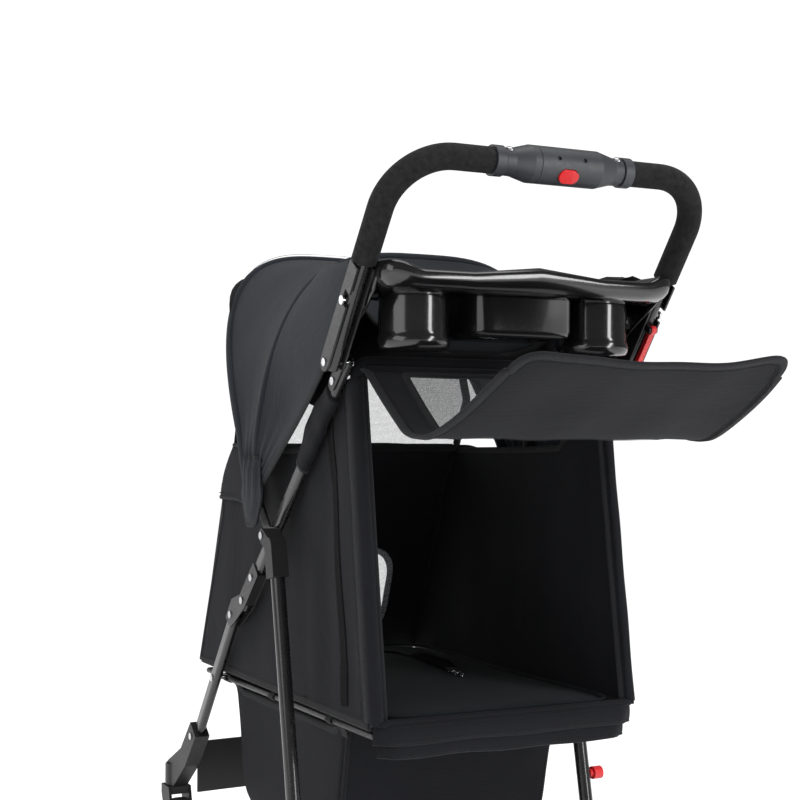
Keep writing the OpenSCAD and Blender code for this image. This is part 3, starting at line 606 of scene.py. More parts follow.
def canopy_sheet(name, first, last, sag, rows=19):
    """Continuous cover between two bows, hollow between them and gathered in pleats at its feet."""
    e0, e1 = edge_of(first), edge_of(last)
    out = []
    for t in np.linspace(0, 1, rows):
        p = (1 - t) * e0 + t * e1
        bell = np.sin(np.pi * t)
        hang = sag
        if first == "rear":
            # beside the tray the cover stays on the rear edge's width before it widens to the bow
            side = 1 - ease((e0[:, 2] - 0.868) / 0.004) * 0.5
            late = t + (t ** 2.3 - t) * side * ease((e0[:, 2] - 0.70) / 0.06)
            p[:, 0] = (1 - late) * e0[:, 0] + late * e1[:, 0]
            hang = sag * (1 - ease((e0[:, 2] - 0.68) / 0.08))
        rel = p - (0, *CANOPY_PIVOT)
        r = np.linalg.norm(rel[:, 1:], axis=1)
        hollow = hang * bell * ease(r / 0.2)
        p[:, 0] -= np.sign(p[:, 0]) * hollow * np.abs(np.cos(ARCH)) ** 0.5
        p[:, 1:] -= unit(rel[:, 1:]) * (hollow * np.sin(ARCH))[:, None]
        near_foot = np.exp(-((r / 0.085) ** 2))
        pleat = PLEAT_DEPTH * np.sin(2 * np.pi * (PLEATS * t + 0.2)) * near_foot * bell ** 0.5
        p = drawn_to_foot(p, r, FOOT_X)
        p[:, 0] += np.where(p[:, 0] < 0, -1, 1) * pleat
        p += unit(p - (0, 0.1, 0.62)) * (0.0016 * bell * ripple(p, 8.0, 3))[:, None]
        out.append(p)
    return cloth_grid(name, np.array(out), MAT["canopy_fabric"], 0.0014)


def bow_line(which, lift, drop=0.0):
    """A line along a bow, raised by lift and turned by drop degrees: (path, normals)."""
    angle, half, height, power = BOWS[which]
    p = bow_point(angle + drop, half + lift, height + lift, power, INNER)
    r = np.linalg.norm(p[:, 1:] - CANOPY_PIVOT, axis=1)
    p = drawn_to_foot(p, r, FOOT_X + lift)
    t = math.radians(angle)
    across = np.broadcast_to((0.0, -math.sin(t), math.cos(t)), p.shape)
    tan = unit(np.gradient(p, axis=0))
    return p, np.cross(tan, across)


REAR_BLEND = ("frame", "canopy_mid", (0, -0.121, 0.757), (0, 0.034, 0.903))
FRONT_BLEND = ("canopy_mid", "canopy_front", (0, 0.030, 0.912), (0, 0.352, 0.930))

rear_cover = canopy_sheet("canopy_rear_sheet", "rear", "mid", 0.010)
settle(rear_cover, REAR_BLEND, "canopy_fabric", ["canopy_rear_cover"])
front_cover = canopy_sheet("canopy_front_sheet", "mid", "front", 0.013, 23)
settle(front_cover, FRONT_BLEND, "canopy_fabric", ["canopy_front_cover"])

# Inner panel that closes the canopy in front of the tray
fold = np.linspace(np.radians(22), np.radians(158), 61)
p = np.array([(1 - t) * bow_point(*BOWS["rear"], fold) + t * bow_point(*BOWS["mid"], fold)
              for t in np.linspace(0, 0.62, 13)])
p[..., 2] -= 0.006 * np.sin(np.linspace(0, np.pi, 13))[:, None]
apron = cloth_grid("canopy_inner_panel", p, MAT["black_fabric"], 0.0014)
settle(apron, REAR_BLEND, "black_fabric")

for which, lift, w, t in (("mid", -0.0030, 0.0135, 0.0130), ("front", -0.0025, 0.0165, 0.0135)):
    p, n = bow_line(which, lift)
    trim(f"canopy_{which}_pocket", p, w, t, n, f"canopy_{which}",
         MAT["canopy_fabric"], "canopy_fabric", sides=14)
hem_line = rear_edge(ARCH)
inward = unit(bow_point(*BOWS["mid"], ARCH) - hem_line)
hem_out = unit(np.cross(inward, np.gradient(hem_line, axis=0)))
trim("canopy_rear_binding", hem_line, 0.0100, 0.0030, hem_out, REAR_BLEND)

rows = []
for k in (-1, 1):
    rows.append((*bow_line("mid", 0.0015, k * 1.6), 0.0012))
sew("canopy_mid_stitches", rows, "canopy_mid", "canopy_fabric")
sew("canopy_front_stitches", [(*bow_line("front", 0.0022, 1.5), 0.001)],
    "canopy_front", "canopy_fabric")
sew("canopy_rear_stitches", [(hem_line + inward * 0.0035, hem_out, 0.0019)],
    REAR_BLEND, "canopy_fabric")


def canopy_tab(tag, side):
    """Rounded end of the cover, sewn over the bows' pivot."""
    outline = rounded([(0.082, 0.640), (0.070, 0.590), (0.092, 0.548),
                       (0.128, 0.545), (0.146, 0.585), (0.139, 0.640)],
                      [0.008, 0.02, 0.022, 0.022, 0.02, 0.008])

    def to3d(q):
        d = edge_distance(q, outline)
        up = ease((q[:, 1] - 0.56) / 0.08)
        pleat = 0.0022 * np.sin((q[:, 0] - 0.108) * 2 * np.pi / 0.019) * up
        x = side * (0.2100 + 0.0035 * ease(d / 0.02) + pleat)
        return np.stack([x, q[:, 0], q[:, 1]], 1)

    tab = cut_sheet(f"canopy_tab_{tag}", outline, [], 0.005, to3d, MAT["canopy_fabric"], 0.002)
    settle(tab, "frame", "canopy_fabric")
    path, nrm = on_sheet(to3d, resample(inset(outline, 0.003), 0.004, True))
    trim(f"canopy_tab_binding_{tag}", path, 0.006, 0.0034, nrm, "frame", closed=True, sides=8)


for tag, side in SIDES:
    canopy_tab(tag, side)


# ------------------------------------------------ cabin walls

WALL_BLEND = ("frame", "floor", (0, 0.1, 0.60), (0, 0.1, 0.335))


SIDE_LOOP = np.array([
    HOOP_FOOT + (0.004, -0.006), FRONT_FOOT, FRONT_FOLD, FRONT_TOP, (0.06, 0.6475),
    (-0.027, 0.651), (-0.080, 0.694), (-0.112, 0.728), FLAP_TOP + (0.008, -0.020),
])
SIDE_RADII = [0.004, 0.006, 0.02, 0.012, 0, 0.02, 0, 0.006, 0.006]


def side_map(side):
    """Flat side wall (y, z) carried into place, drawn in between its edges."""
    def to3d(q):
        d = edge_distance(q, SIDE_LOOP)
        inner = inside(q, SIDE_LOOP)
        pull = 0.0055 * ease(d / 0.13) * inner
        folds = 0.0016 * ripple(q * (1.0, 0.35), 9.0, 5 + side) * ease(d / 0.05) * inner
        return np.stack([side * (WALL_X - pull + folds), q[:, 0], q[:, 1]], 1)

    return to3d


def cabin_side(tag, side):
    to3d = side_map(side)
    wall = cut_sheet(f"cabin_side_{tag}", rounded(SIDE_LOOP, SIDE_RADII), [],
                     0.0095, to3d, MAT["black_fabric"], 0.0022)
    settle(wall, WALL_BLEND, "black_fabric", ["cabin_walls"])

    def outer(line, step):
        """A line on the wall's outer face: (path, normals)."""
        path, nrm = on_sheet(to3d, resample(line, step, False))
        return path, nrm * np.sign(nrm[:, :1] * side)

    def band(name, line, w, t, mat=BINDING, shift=0.0, **shape):
        path, nrm = outer(line, 0.007)
        trim(f"{name}_{tag}", path + nrm * shift, w, t, nrm, WALL_BLEND, mat, **shape)

    hem = np.array([HOOP_FOOT + (0.010, -0.002), FRONT_FOOT + (-0.004, 0.004)])
    band("side_hem", hem, 0.011, 0.0042)
    band("front_seam", [FRONT_FOOT + (0, 0.003), FRONT_FOLD + (-0.004, -0.02),
                        FRONT_FOLD + (-0.004, 0.008), FRONT_TOP], 0.0085, 0.0055)
    band("top_hem", [FRONT_TOP, (0.06, 0.6475), (-0.027, 0.651), (-0.112, 0.726)], 0.010, 0.0045)
    # textured closing strip, set back from the rear edge
    lean = unit(FLAP_TOP - HOOP_FOOT)
    base = HOOP_FOOT + (0.076, 0.012)
    strip = np.array([base, base + lean * 0.345])
    band("closing_strip", strip, 0.0185, 0.0030, STRIP, 0.0014, square=3.5)
    # thread on both edges of the strip, two seams behind it and two along the hem
    across = np.array((lean[1], -lean[0]))
    seam = HOOP_FOOT + np.outer((0.01, 0.385), lean)
    rows = [(*outer(strip + across * k * 0.0082, 0.006), 0.0034) for k in (-1, 1)]
    rows += [(*outer(seam + across * off, 0.006), 0.0016) for off in (0.024, 0.030)]
    rows += [(*outer(hem + (0, h), 0.006), 0.0026) for h in (0.0045, -0.0015)]
    sew(f"side_stitches_{tag}", rows, WALL_BLEND)


for tag, side in SIDES:
    cabin_side(tag, side)

LOW_RUN = np.linalg.norm(FRONT_FOLD - FRONT_FOOT)
FRONT_RUN = LOW_RUN + np.linalg.norm(FRONT_TOP - FRONT_FOLD)


def front_map(back):
    """Flat front wall (x, distance up from its foot) carried into place, set back by a distance."""
    d0, d1 = unit(FRONT_FOLD - FRONT_FOOT), unit(FRONT_TOP - FRONT_FOLD)
    s = np.linspace(0, FRONT_RUN, 400)
    turn = ease((s - LOW_RUN + 0.03) / 0.06)[:, None]
    steps = unit(d0 * (1 - turn) + d1 * turn) * (s[1] - s[0])
    line = FRONT_FOOT + np.vstack([[0, 0], np.cumsum(steps, axis=0)[:-1]])
    normal = np.stack([np.gradient(line[:, 1]), -np.gradient(line[:, 0])], 1)
    line = line - unit(normal) * back

    def to3d(q):
        y, z = (np.interp(q[:, 1], s, line[:, k]) for k in (0, 1))
        middle = (1 - (q[:, 0] / 0.18) ** 2).clip(0) * np.sin(np.pi * (q[:, 1] / s[-1]).clip(0, 1))
        y = y - 0.004 * middle + 0.0015 * ripple(q, 9.0, 21) * middle
        return np.stack([q[:, 0], y, z], 1)

    return to3d


def box_loop(x, y0, y1, r=0.0, steps=10):
    """Rectangle of half width x from y0 to y1, with rounded corners."""
    return rounded([(-x, y0), (x, y0), (x, y1), (-x, y1)], r, steps)


WINDOW = box_loop(0.106, 0.0328, 0.1700, 0.050, 12)
front_wall_map = front_map(0.0015)
front_wall = cut_sheet("cabin_front", box_loop(WALL_X - 0.0005, 0.001, 0.341), [WINDOW],
                       0.010, front_wall_map, MAT["black_fabric"], 0.0022)
settle(front_wall, WALL_BLEND, "black_fabric")
path, nrm = on_sheet(front_wall_map, resample(inset(WINDOW, -0.004), 0.006, True))
trim("front_window_binding", path, 0.011, 0.0048, nrm, WALL_BLEND, closed=True)
rows = []
for off in (-0.0022, -0.0068):
    line, nn = on_sheet(front_wall_map, resample(inset(WINDOW, off), 0.005, True))
    rows += [(line, nn, 0.0030), (line, -nn, 0.0030)]
sew("front_window_stitches", rows, WALL_BLEND)

low_net = cut_sheet("front_window_net", box_loop(0.113, 0.026, 0.177, 0.054, 9), [],
                    0.011, front_map(0.0046), MAT["net"], 0)
settle(low_net, WALL_BLEND, "net", ["front_mesh"])

NET_TOP = np.array((0.345, 0.900))
NET_RUN = float(np.linalg.norm(NET_TOP - FRONT_TOP))


def upper_net_map(q):
    """Flat net (x, distance up) carried into place; its sides wrap back under the front bow."""
    t = q[:, 1] / NET_RUN
    y, z = (FRONT_TOP[k] + t * (NET_TOP - FRONT_TOP)[k] for k in (0, 1))
    y = y - 0.006 * np.sin(np.pi * t.clip(0, 1)) * np.cos(q[:, 0] * 8)
    back = np.interp(z, [0.645, 0.72, 0.80, 0.86, 0.90], [0, 0.060, 0.049, 0.040, 0.030])
    y = y - back * np.abs(q[:, 0] / 0.186).clip(0, 1.05) ** 3
    return np.stack([q[:, 0], y + 0.0012 * ripple(q, 12.0, 8), z], 1)


NET_LOOP = rounded([(-0.176, 0.001), (0.176, 0.001), (0.184, 0.12),
                    (0.168, NET_RUN), (-0.168, NET_RUN), (-0.184, 0.12)],
                   [0, 0, 0.03, 0.075, 0.075, 0.03], 9)
up_net = cut_sheet("front_upper_net", NET_LOOP, [], 0.012, upper_net_map, MAT["net"], 0)
settle(up_net, "frame", "net")
path, nrm = on_sheet(upper_net_map, resample(inset(NET_LOOP, 0.004), 0.007, True))
net_edge = trim("front_upper_net_binding", path, 0.012, 0.004, nrm, "frame", closed=True)
for ob in (up_net, net_edge):
    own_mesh(ob)


def top_band():
    """Double fabric band round the cabin's front top corners, as rows from its foot up."""
    rows = []
    for v in np.linspace(0, 1, 9):
        bell = math.sin(math.pi * v)
        z = 0.578 + 0.074 * v
        y = np.interp(z, [0.577, 0.645, 0.66], [0.306, 0.258, 0.250]) + 0.0055
        x = 0.1835 + 0.003 * bell
        c = rounded([(-x, 0.150), (-x, y), (x, y), (x, 0.150)], [0, 0.018, 0.018, 0], 9)
        c = resample(c, 0.011, False)[:60]
        rows.append(np.column_stack([c[:, 0], c[:, 1] + 0.002 * bell, np.full(len(c), z)]))
    n = min(len(r) for r in rows)
    p = np.array([[r[int(round(k * (len(r) - 1) / (n - 1)))] for k in range(n)] for r in rows])
    p[..., 2] += 0.0016 * np.sin(p[..., 0] * 31) - 0.012 * ease((0.24 - p[..., 1]) / 0.09)
    return p


band = top_band()
band_ob = cloth_grid("cabin_top_band", band, MAT["black_fabric"], 0.0022)
settle(band_ob, "frame", "black_fabric")
rows = []
for name, edge, up in (("low", band[0], 0.006), ("high", band[-1], -0.006)):
    tan = unit(np.gradient(edge, axis=0))
    out = np.cross((0, 0, 1.0), tan)
    out = out * np.sign((out * (edge - (0, 0.1, 0))).sum(1, keepdims=True))
    trim(f"cabin_top_band_{name}", edge, 0.006, 0.0045, out, "frame")
    rows.append((edge + (0, 0, up), out, 0.0022))
sew("cabin_top_band_stitches", rows, "frame")


# ------------------------------------------------ rear opening

HOOP_RISE = FLAP_TOP + (0.004, 0.004) - HOOP_FOOT
HOOP_UP = float(np.linalg.norm(HOOP_RISE))
HOOP_X = 0.1735


def by_hoop(x, up, out=0.0):
    """Point by the rear hoop: across, up along its lean, and out behind it."""
    d = unit(HOOP_RISE)
    return np.array((x, *(HOOP_FOOT + d * up + np.array((-d[1], d[0])) * out)))


def arch_by_hoop(half, low, high, r, steps, out=0.0):
    """A line up one side of the opening, over its top and down the other side."""
    line = rounded([(-half, low), (-half, high), (half, high), (half, low)], [0, r, r, 0], steps)
    return np.array([by_hoop(x, up, out) for x, up in resample(line, 0.008, False)])


back = by_hoop(0, 0, 1) - by_hoop(0, 0)
path = arch_by_hoop(HOOP_X, 0.0, HOOP_UP, 0.022, 9)
wob = 1 + 0.05 * ripple(path, 14.0, 2)
trim("rear_opening_hem", path, 0.0145 * wob, 0.0150 * wob, back, "frame",
     MAT["black_fabric"], sides=14)
path = arch_by_hoop(0.1640, 0.004, HOOP_UP - 0.0095, 0.014, 7, 0.001)
trim("rear_opening_binding", path, 0.0095, 0.0036, back, "frame")
# soft facing that turns the corner from the side wall to the opening: (outwards, behind)
FACING = [(0.0045, -0.022), (0.0075, -0.006), (0.0072, 0.003), (0.002, 0.0082), (-0.006, 0.0068)]
rows = []
for tag, side in SIDES:
    p = [[by_hoop(side * (HOOP_X + dx), up, out + 0.0006 * math.sin(up * 55 + k))
          for k, (dx, out) in enumerate(FACING)] for up in np.linspace(0.004, HOOP_UP - 0.02, 44)]
    facing = cloth_grid(f"rear_facing_{tag}", np.array(p), MAT["black_fabric"], 0.0016)
    settle(facing, "frame", "black_fabric")
    seam = [by_hoop(side * 0.1818, up, -0.009) for up in np.linspace(0.01, HOOP_UP - 0.03, 60)]
    rows.append((seam, (side, 0, 0), 0.0006))
sew("rear_facing_stitches", rows, "frame")


# ------------------------------------------------ floor, pad and lip

board_lo, board_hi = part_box("floor_board")
pad_lo, pad_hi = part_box("floor_pad")


def cushion(name, loop, z0, z1, crown, mat, step=0.012):
    """Closed pad over a flat outline: side wall, crowned top and a flat base."""
    loop = resample(loop, step, True)
    middle = loop.mean(0)
    shrink = [0.25, 0.5, 0.75, 0.94]
    rings = [(s, z0) for s in shrink]
    for h in (0.0, 0.35, 0.5, 0.65, 1.0):
        bulge = 0.0035 * math.sin(math.pi * h) / 0.16
        rings.append((0.988 + bulge, z0 + (z1 - crown - z0) * (0.12 + 0.88 * h)))
    rings += [(s, z1 - crown * s ** 3) for s in reversed(shrink)]
    verts, n = [(*middle, z0)], len(loop)
    for size, z in rings:
        verts += [(*(middle + (p - middle) * size), z) for p in loop]
    verts.append((*middle, z1))
    faces = [(0, 1 + (k + 1) % n, 1 + k) for k in range(n)]
    for r in range(len(rings) - 1):
        a, b = 1 + r * n, 1 + (r + 1) * n
        faces += [(a + k, a + (k + 1) % n, b + (k + 1) % n, b + k) for k in range(n)]
    last, top = 1 + (len(rings) - 1) * n, len(verts) - 1
    faces += [(last + k, last + (k + 1) % n, top) for k in range(n)]
    return make(name, verts, faces, mat)


PAD_LOOP = box_loop(0.1605, pad_lo.y + 0.003, pad_hi.y - 0.003, 0.045)
pad = cushion("floor_pad_cushion", PAD_LOOP, 0.3328, 0.3440, 0.0035, MAT["pad_fabric"])
puff(pad, 0.0028, voxel=0.005)
settle(pad, "floor", "pad_fabric", ["floor_pad"])
for k, z in (("low", 0.3345), ("high", 0.3432)):
    loop = resample(box_loop(0.1612, pad_lo.y + 0.0022, pad_hi.y - 0.0022, 0.045), 0.010, True)
    ring = np.column_stack([loop, np.full(len(loop), z)])
    trim(f"floor_pad_piping_{k}", ring, 0.0026, 0.0026, (0, 0, 1), "floor",
         MAT["pad_fabric"], "pad_fabric", closed=True, sides=8)

# The board's fabric cover: a tray under the pad, and the lip that hangs at the rear
BOARD = box_loop(0.1655, board_lo.y + 0.008, board_hi.y + 0.001, 0.018)


def board_map(q):
    d = edge_distance(q, BOARD)
    return np.stack([q[:, 0], q[:, 1], 0.3305 - 0.0035 * (1 - ease(d / 0.012))], 1)


cover = cut_sheet("floor_board_cover", BOARD, [], 0.014, board_map, MAT["black_fabric"], 0.0025)
settle(cover, "floor", "black_fabric", ["floor_board"])


def lip(z_top, z_low, y, belly, half, wave, seed):
    """A flap of cloth hung along the sill, with its ends turned in: columns from top to edge."""
    columns = []
    for x in np.linspace(-half, half, 49):
        turn = ease((abs(x) - half + 0.02) / 0.02)
        sway = wave * ripple(np.array([(x, 0.0)]), 7.0, seed)[0]
        columns.append([
            (x, y + 0.012 * turn - belly * math.sin(math.pi * v) * (1 - 0.6 * turn),
             z_top + (z_low - z_top) * v + sway * v)
            for v in np.linspace(0, 1, 8)
        ])
    return np.array(columns)


rows = []
for name, top, low, y, belly, half, wave, seed in (
    ("rear_lip_upper", 0.3385, 0.3150, -0.1965, 0.0045, 0.1765, 0.0012, 3),
    ("rear_lip_lower", 0.3190, 0.2985, -0.1925, 0.0030, 0.1690, 0.0022, 9),
):
    p = lip(top, low, y, belly, half, wave, seed)
    ob = cloth_grid(name, p, MAT["black_fabric"], 0.0022)
    settle(ob, "floor", "black_fabric")
    trim(name + "_edge", p[:, -1], 0.0036, 0.0034, (0, -1, 0), "floor", sides=8)
    rows += [(p[:, 6], (0, -1, 0), 0.0018), (p[:, 1], (0, -1, 0), 0.0020)]
sew("rear_lip_stitches", rows, "floor")
roll = np.column_stack([np.linspace(-0.172, 0.172, 40), np.full(40, -0.1925), np.full(40, 0.3395)])
roll[:, 2] += 0.0008 * ripple(roll, 8.0, 4)
trim("rear_sill_roll", roll, 0.010, 0.0085, (0, 0, 1), "floor", MAT["black_fabric"], sides=12)


# ------------------------------------------------ tether

TETHER = np.array([(60, 320), (78, 275), (88, 225), (87, 165), (76, 105), (64, 58)]) / 1000
TETHER_Z = 0.3487


def curve_through(points, count):
    """Smooth curve through every point."""
    pts = np.array(points, float)
    ext = np.vstack([2 * pts[0] - pts[1], pts, 2 * pts[-1] - pts[-2]])
    out = []
    for t in np.linspace(0, len(pts) - 1 - 1e-9, count):
        i = int(t)
        u = t - i
        a, b, c, d = ext[i:i + 4]
        square, cube = 2 * a - 5 * b + 4 * c - d, 3 * b - a - 3 * c + d
        out.append(0.5 * (2 * b + (c - a) * u + square * u ** 2 + cube * u ** 3))
    return np.array(out)


strap = curve_through(TETHER, 60)
strap = np.column_stack([strap, TETHER_Z + 0.0005 * np.sin(np.arange(60) * 0.5)])
webbing = sweep("tether_webbing", strap, 0.0150, 0.0018, BINDING, (0, 0, 1), square=4)
settle(webbing, "floor", "black_fabric", ["tether"])
middle = strap[26:50] + (0, 0, 0.0016)
grow = np.sin(np.linspace(0.35, math.pi - 0.35, len(middle))) ** 0.35
sleeve = trim("tether_sleeve", middle, 0.031 * grow, 0.0052 * grow, (0, 0, 1), "floor",
              STRIP, sides=14, square=3)

# The clip: a ring through the strap, a turned neck and a hook
ahead = unit(strap[-1] - strap[-2])
across = np.cross(ahead, (0, 0, 1))
STEEL = MAT["bright_steel"]


def clip_loop(name, along, half_wide, half_long, lift, w, t):
    a = np.linspace(0, 2 * np.pi, 22, endpoint=False)
    centre = strap[-1] + ahead * along + (0, 0, lift)
    loop = centre + np.outer(np.cos(a), across) * half_wide + np.outer(np.sin(a), ahead) * half_long
    return sweep(name, loop, w, t, STEEL, (0, 0, 1), True, 8)


ring = clip_loop("clip_ring", 0.004, 0.0085, 0.0045, 0.0014, 0.0018, 0.0018)
neck_line = strap[-1] + np.outer(np.linspace(0.008, 0.017, 6), ahead) + (0, 0, 0.0022)
neck = sweep("clip_neck", neck_line, [0.004, 0.006, 0.006, 0.005, 0.0045, 0.004],
             [0.0034, 0.0044, 0.0044, 0.004, 0.0036, 0.003], STEEL, (0, 0, 1))
gate = clip_loop("clip_hook", 0.028, 0.0055, 0.011, 0.0020, 0.0024, 0.0026)
settle(joined("tether_clip", [ring, neck, gate]), "floor", "bright_steel")


# ------------------------------------------------ storage basket

BASKET_REAR, BASKET_FRONT, BASKET_MID = -0.0635, 0.3150, 0.126
RIM_Z, BASE_Z = 0.3165, 0.1505
SHELL_ROWS = 17
ring = resample(box_loop(0.1525, BASKET_REAR, BASKET_FRONT, 0.012, 6), 0.0105, True)


def basket_row(v):
    """One row round the basket, from its rim at v = 0 down to its base at v = 1."""
    grow = 1 - 0.010 * v ** 8 / 0.16
    low_y = np.interp(ring[:, 1], [-0.064, 0.316], [-0.028, 0.293])
    y = ring[:, 1] * (1 - v) + low_y * v
    sag = ease((ring[:, 1] + 0.052) / 0.02) * ease((0.304 - ring[:, 1]) / 0.02)
    z = RIM_Z - (RIM_Z - BASE_Z) * v - 0.0105 * sag * (1 - v)
    z = z + 0.0048 * v * (1 - v) * ripple(ring, 9.0, 4)
    x = ring[:, 0] * (1 - 0.006 * v)
    return np.stack([x * grow, BASKET_MID + (y - BASKET_MID) * grow, z], 1)


shell = [basket_row(v) for v in np.linspace(0, 1, SHELL_ROWS)]
centre = shell[-1].mean(0)
for k in (0.97, 0.85, 0.62, 0.36, 0.12):  # each row of the base is drawn in from the one before
    row = centre + (shell[-1] - centre) * k
    row[:, 2] = 0.1495 - 0.0022 * (1 - k) + 0.0008 * ripple(row, 11.0, 6)
    shell.append(row)
shell = np.array(shell)
out = unit(shell - (0, BASKET_MID, 0.23)) * (1, 1, 0)
for k, v in enumerate(np.linspace(0, 1, SHELL_ROWS)):
    slack = 0.0035 * math.sin(math.pi * v) * (1 + 0.4 * ripple(ring, 4.0, 12))
    shell[k] -= out[k] * slack[:, None]
basket = cloth_grid("storage_basket_shell", np.swapaxes(shell, 0, 1), MAT["black_fabric"],
                    0.0020, closed=True)
settle(basket, "floor", "black_fabric", ["storage_basket"])
rim = shell[0]
nrm = unit((rim - (0, BASKET_MID, 0)) * (1, 1, 0))
trim("basket_rim_binding", rim + (0, 0, -0.004), 0.0125, 0.0044, nrm, "floor", closed=True)
rows = [(rim + (0, 0, dz), nrm, 0.0026) for dz in (0.0005, -0.0085)]
for tag, side in SIDES:
    for end, y in (("rear", BASKET_REAR), ("front", BASKET_FRONT)):
        corner = np.argmin(np.hypot(ring[:, 0] - side * 0.1500, ring[:, 1] - y * 0.98))
        line = shell[:SHELL_ROWS, corner]
        nrm = unit((line - (0, BASKET_MID, 0)) * (1, 1, 0))
        trim(f"basket_seam_{tag[0]}_{end}", line, 0.0068, 0.0042, nrm, "floor")
        rows.append((line, nrm, 0.0023))
sew("basket_stitches", rows, "floor")
# Loops that hang the basket on the floor frame's side rods: (across, height)
HANGER = [(0.1520, 0.300), (0.1545, 0.309), (0.1620, 0.3155), (0.1700, 0.3165),
          (0.1757, 0.322), (0.1700, 0.3275), (0.1640, 0.3255)]
for tag, side in SIDES:
    for k, y in enumerate((-0.058, 0.126, 0.300)):
        line = curve_through([(side * x, y, z) for x, z in HANGER], 22)
        nrm = unit(np.cross(unit(np.gradient(line, axis=0)), (0, 1.0, 0)))
        trim(f"basket_loop_{tag[0]}_{k}", line, 0.018, 0.0014, nrm, "floor", square=4)


# ------------------------------------------------ rear flap

RUN_1 = float(np.linalg.norm(FLAP_LOW - FLAP_TOP))
RUN_2 = float(np.linalg.norm(FLAP_END - FLAP_LOW))
RUN = RUN_1 + RUN_2
FOLD_W = 0.052


def flap_half(s):
    """Half the flap's width at a distance s down it."""
    return np.interp(s, [0, 0.05, RUN_1 - 0.02, RUN_1 + 0.02, RUN],
                     [0.168, 0.174, 0.1895, 0.1895, 0.170])


def flap_line():
    """Side view of the flap: down from its top edge, round its soft fold, out to its free edge."""
    s = np.linspace(0, RUN, 600)
    h0 = math.atan2(*(FLAP_LOW - FLAP_TOP)[::-1]) % (2 * math.pi)
    h1 = math.atan2(*(FLAP_END - FLAP_LOW)[::-1]) % (2 * math.pi)
    t = ease((s - RUN_1 + FOLD_W) / (2 * FOLD_W))
    h = h0 + (h1 - h0) * t
    step = s[1] - s[0]
    line = FLAP_TOP + np.cumsum(np.stack([np.cos(h), np.sin(h)], 1) * step, axis=0)
    miss = FLAP_END - line[-1]
    return s, line + miss * (s / RUN)[:, None]


FLAP_S, FLAP_YZ = flap_line()


def flap_map(lift=0.0):
    normal = unit(np.stack([np.gradient(FLAP_YZ[:, 1]), -np.gradient(FLAP_YZ[:, 0])], 1))

    def to3d(q):
        x, s = q[:, 0], q[:, 1]
        y, z = (np.interp(s, FLAP_S, FLAP_YZ[:, k]) for k in (0, 1))
        ny, nz = (np.interp(s, FLAP_S, normal[:, k]) for k in (0, 1))
        t = ((s - RUN_1) / RUN_2).clip(0, 1)
        wide = x / 0.185
        belly = -0.011 * np.sin(np.pi * t) ** 1.2 * (0.75 + 0.25 * wide ** 2)
        dip = -0.014 * ease((t - 0.45) / 0.55) * (1 - wide ** 2)
        top = 0.004 * np.sin(np.pi * (s / RUN_1).clip(0, 1)) * np.cos(wide * 1.4)
        folds = 0.0022 * ripple(q * (1.0, 0.8), 6.0, 14) * ease(s / 0.06) * (0.4 + t)
        z = z + belly + dip - top + folds
        return np.stack([x, y + ny * lift, z + nz * lift], 1)

    return to3d


ss = np.linspace(0.008, RUN - 0.036, 36)
right_edge = np.stack([flap_half(ss), ss], 1)
corner = rounded([(0.17, RUN - 0.040), (0.17, RUN), (0, RUN)], [0, 0.036, 0], 10)[1:]
half_loop = np.vstack([right_edge, corner])
FLAP_LOOP = np.vstack([half_loop, (half_loop * (-1, 1))[::-1][1:]])
FLAP_WINDOW = rounded([(-0.117, 0.026), (0.117, 0.026), (0.141, 0.183), (-0.141, 0.183)],
                      [0.006, 0.006, 0.012, 0.012])
flap_to = flap_map()
FLAP_BLEND = ("flap_top", "flap_end", (0, *(FLAP_LOW - unit(FLAP_LOW - FLAP_TOP) * 0.045)),
              (0, *(FLAP_LOW + unit(FLAP_END - FLAP_LOW) * 0.045)))
flap = cut_sheet("rear_flap_sheet", FLAP_LOOP, [FLAP_WINDOW], 0.0085, flap_to,
                 MAT["black_fabric"], 0.0024)
settle(flap, FLAP_BLEND, "black_fabric", ["flap_upper", "flap_lower"])
net_loop = rounded([(-0.121, 0.021), (0.121, 0.021), (0.145, 0.188), (-0.145, 0.188)], 0.006)
net = cut_sheet("rear_flap_net", net_loop, [], 0.011, flap_map(0.0006), BLACK_NET, 0)
settle(net, FLAP_BLEND, "net")
path, nrm = on_sheet(flap_to, resample(inset(FLAP_LOOP, 0.0042), 0.007, True))
flap_binding = trim("rear_flap_binding", path, 0.0115, 0.0054, nrm, FLAP_BLEND,
                    closed=True, sides=12)
path, nrm = on_sheet(flap_to, resample(inset(FLAP_WINDOW, -0.0052), 0.006, True))
window_binding = trim("flap_window_binding", path, 0.0125, 0.0044, nrm, FLAP_BLEND,
                      closed=True, sides=12)
rows = []
for base, offs in ((FLAP_LOOP, (0.0078, 0.0118)), (FLAP_WINDOW, (-0.0022, -0.0090, -0.0142))):
    for off in offs:
        p, nn = on_sheet(flap_to, resample(inset(base, off), 0.0055, True))
        lift = 0.0026 if abs(off) < 0.0105 else 0.0016
        rows += [(p, nn, lift), (p, -nn, lift)]
flap_sewing = sew("rear_flap_stitches", rows, FLAP_BLEND)
top_line = np.column_stack([np.linspace(-0.168, 0.168, 40), np.full(40, 0.0105)])
p, nn = on_sheet(flap_to, top_line)
trim("flap_top_fold", p, 0.016, 0.0066, nn, "flap_top", MAT["black_fabric"], sides=12)


# ------------------------------------------------ cup tray

TRAY_HALF = np.array((0.1945, 0.085))
TRAY_MID = -0.177
TRAY_TOP = 0.850
CUP_AT = (0.125, -0.182)
POCKET_AT = (0, -0.178)
GLOSS = MAT["gloss_plastic"]


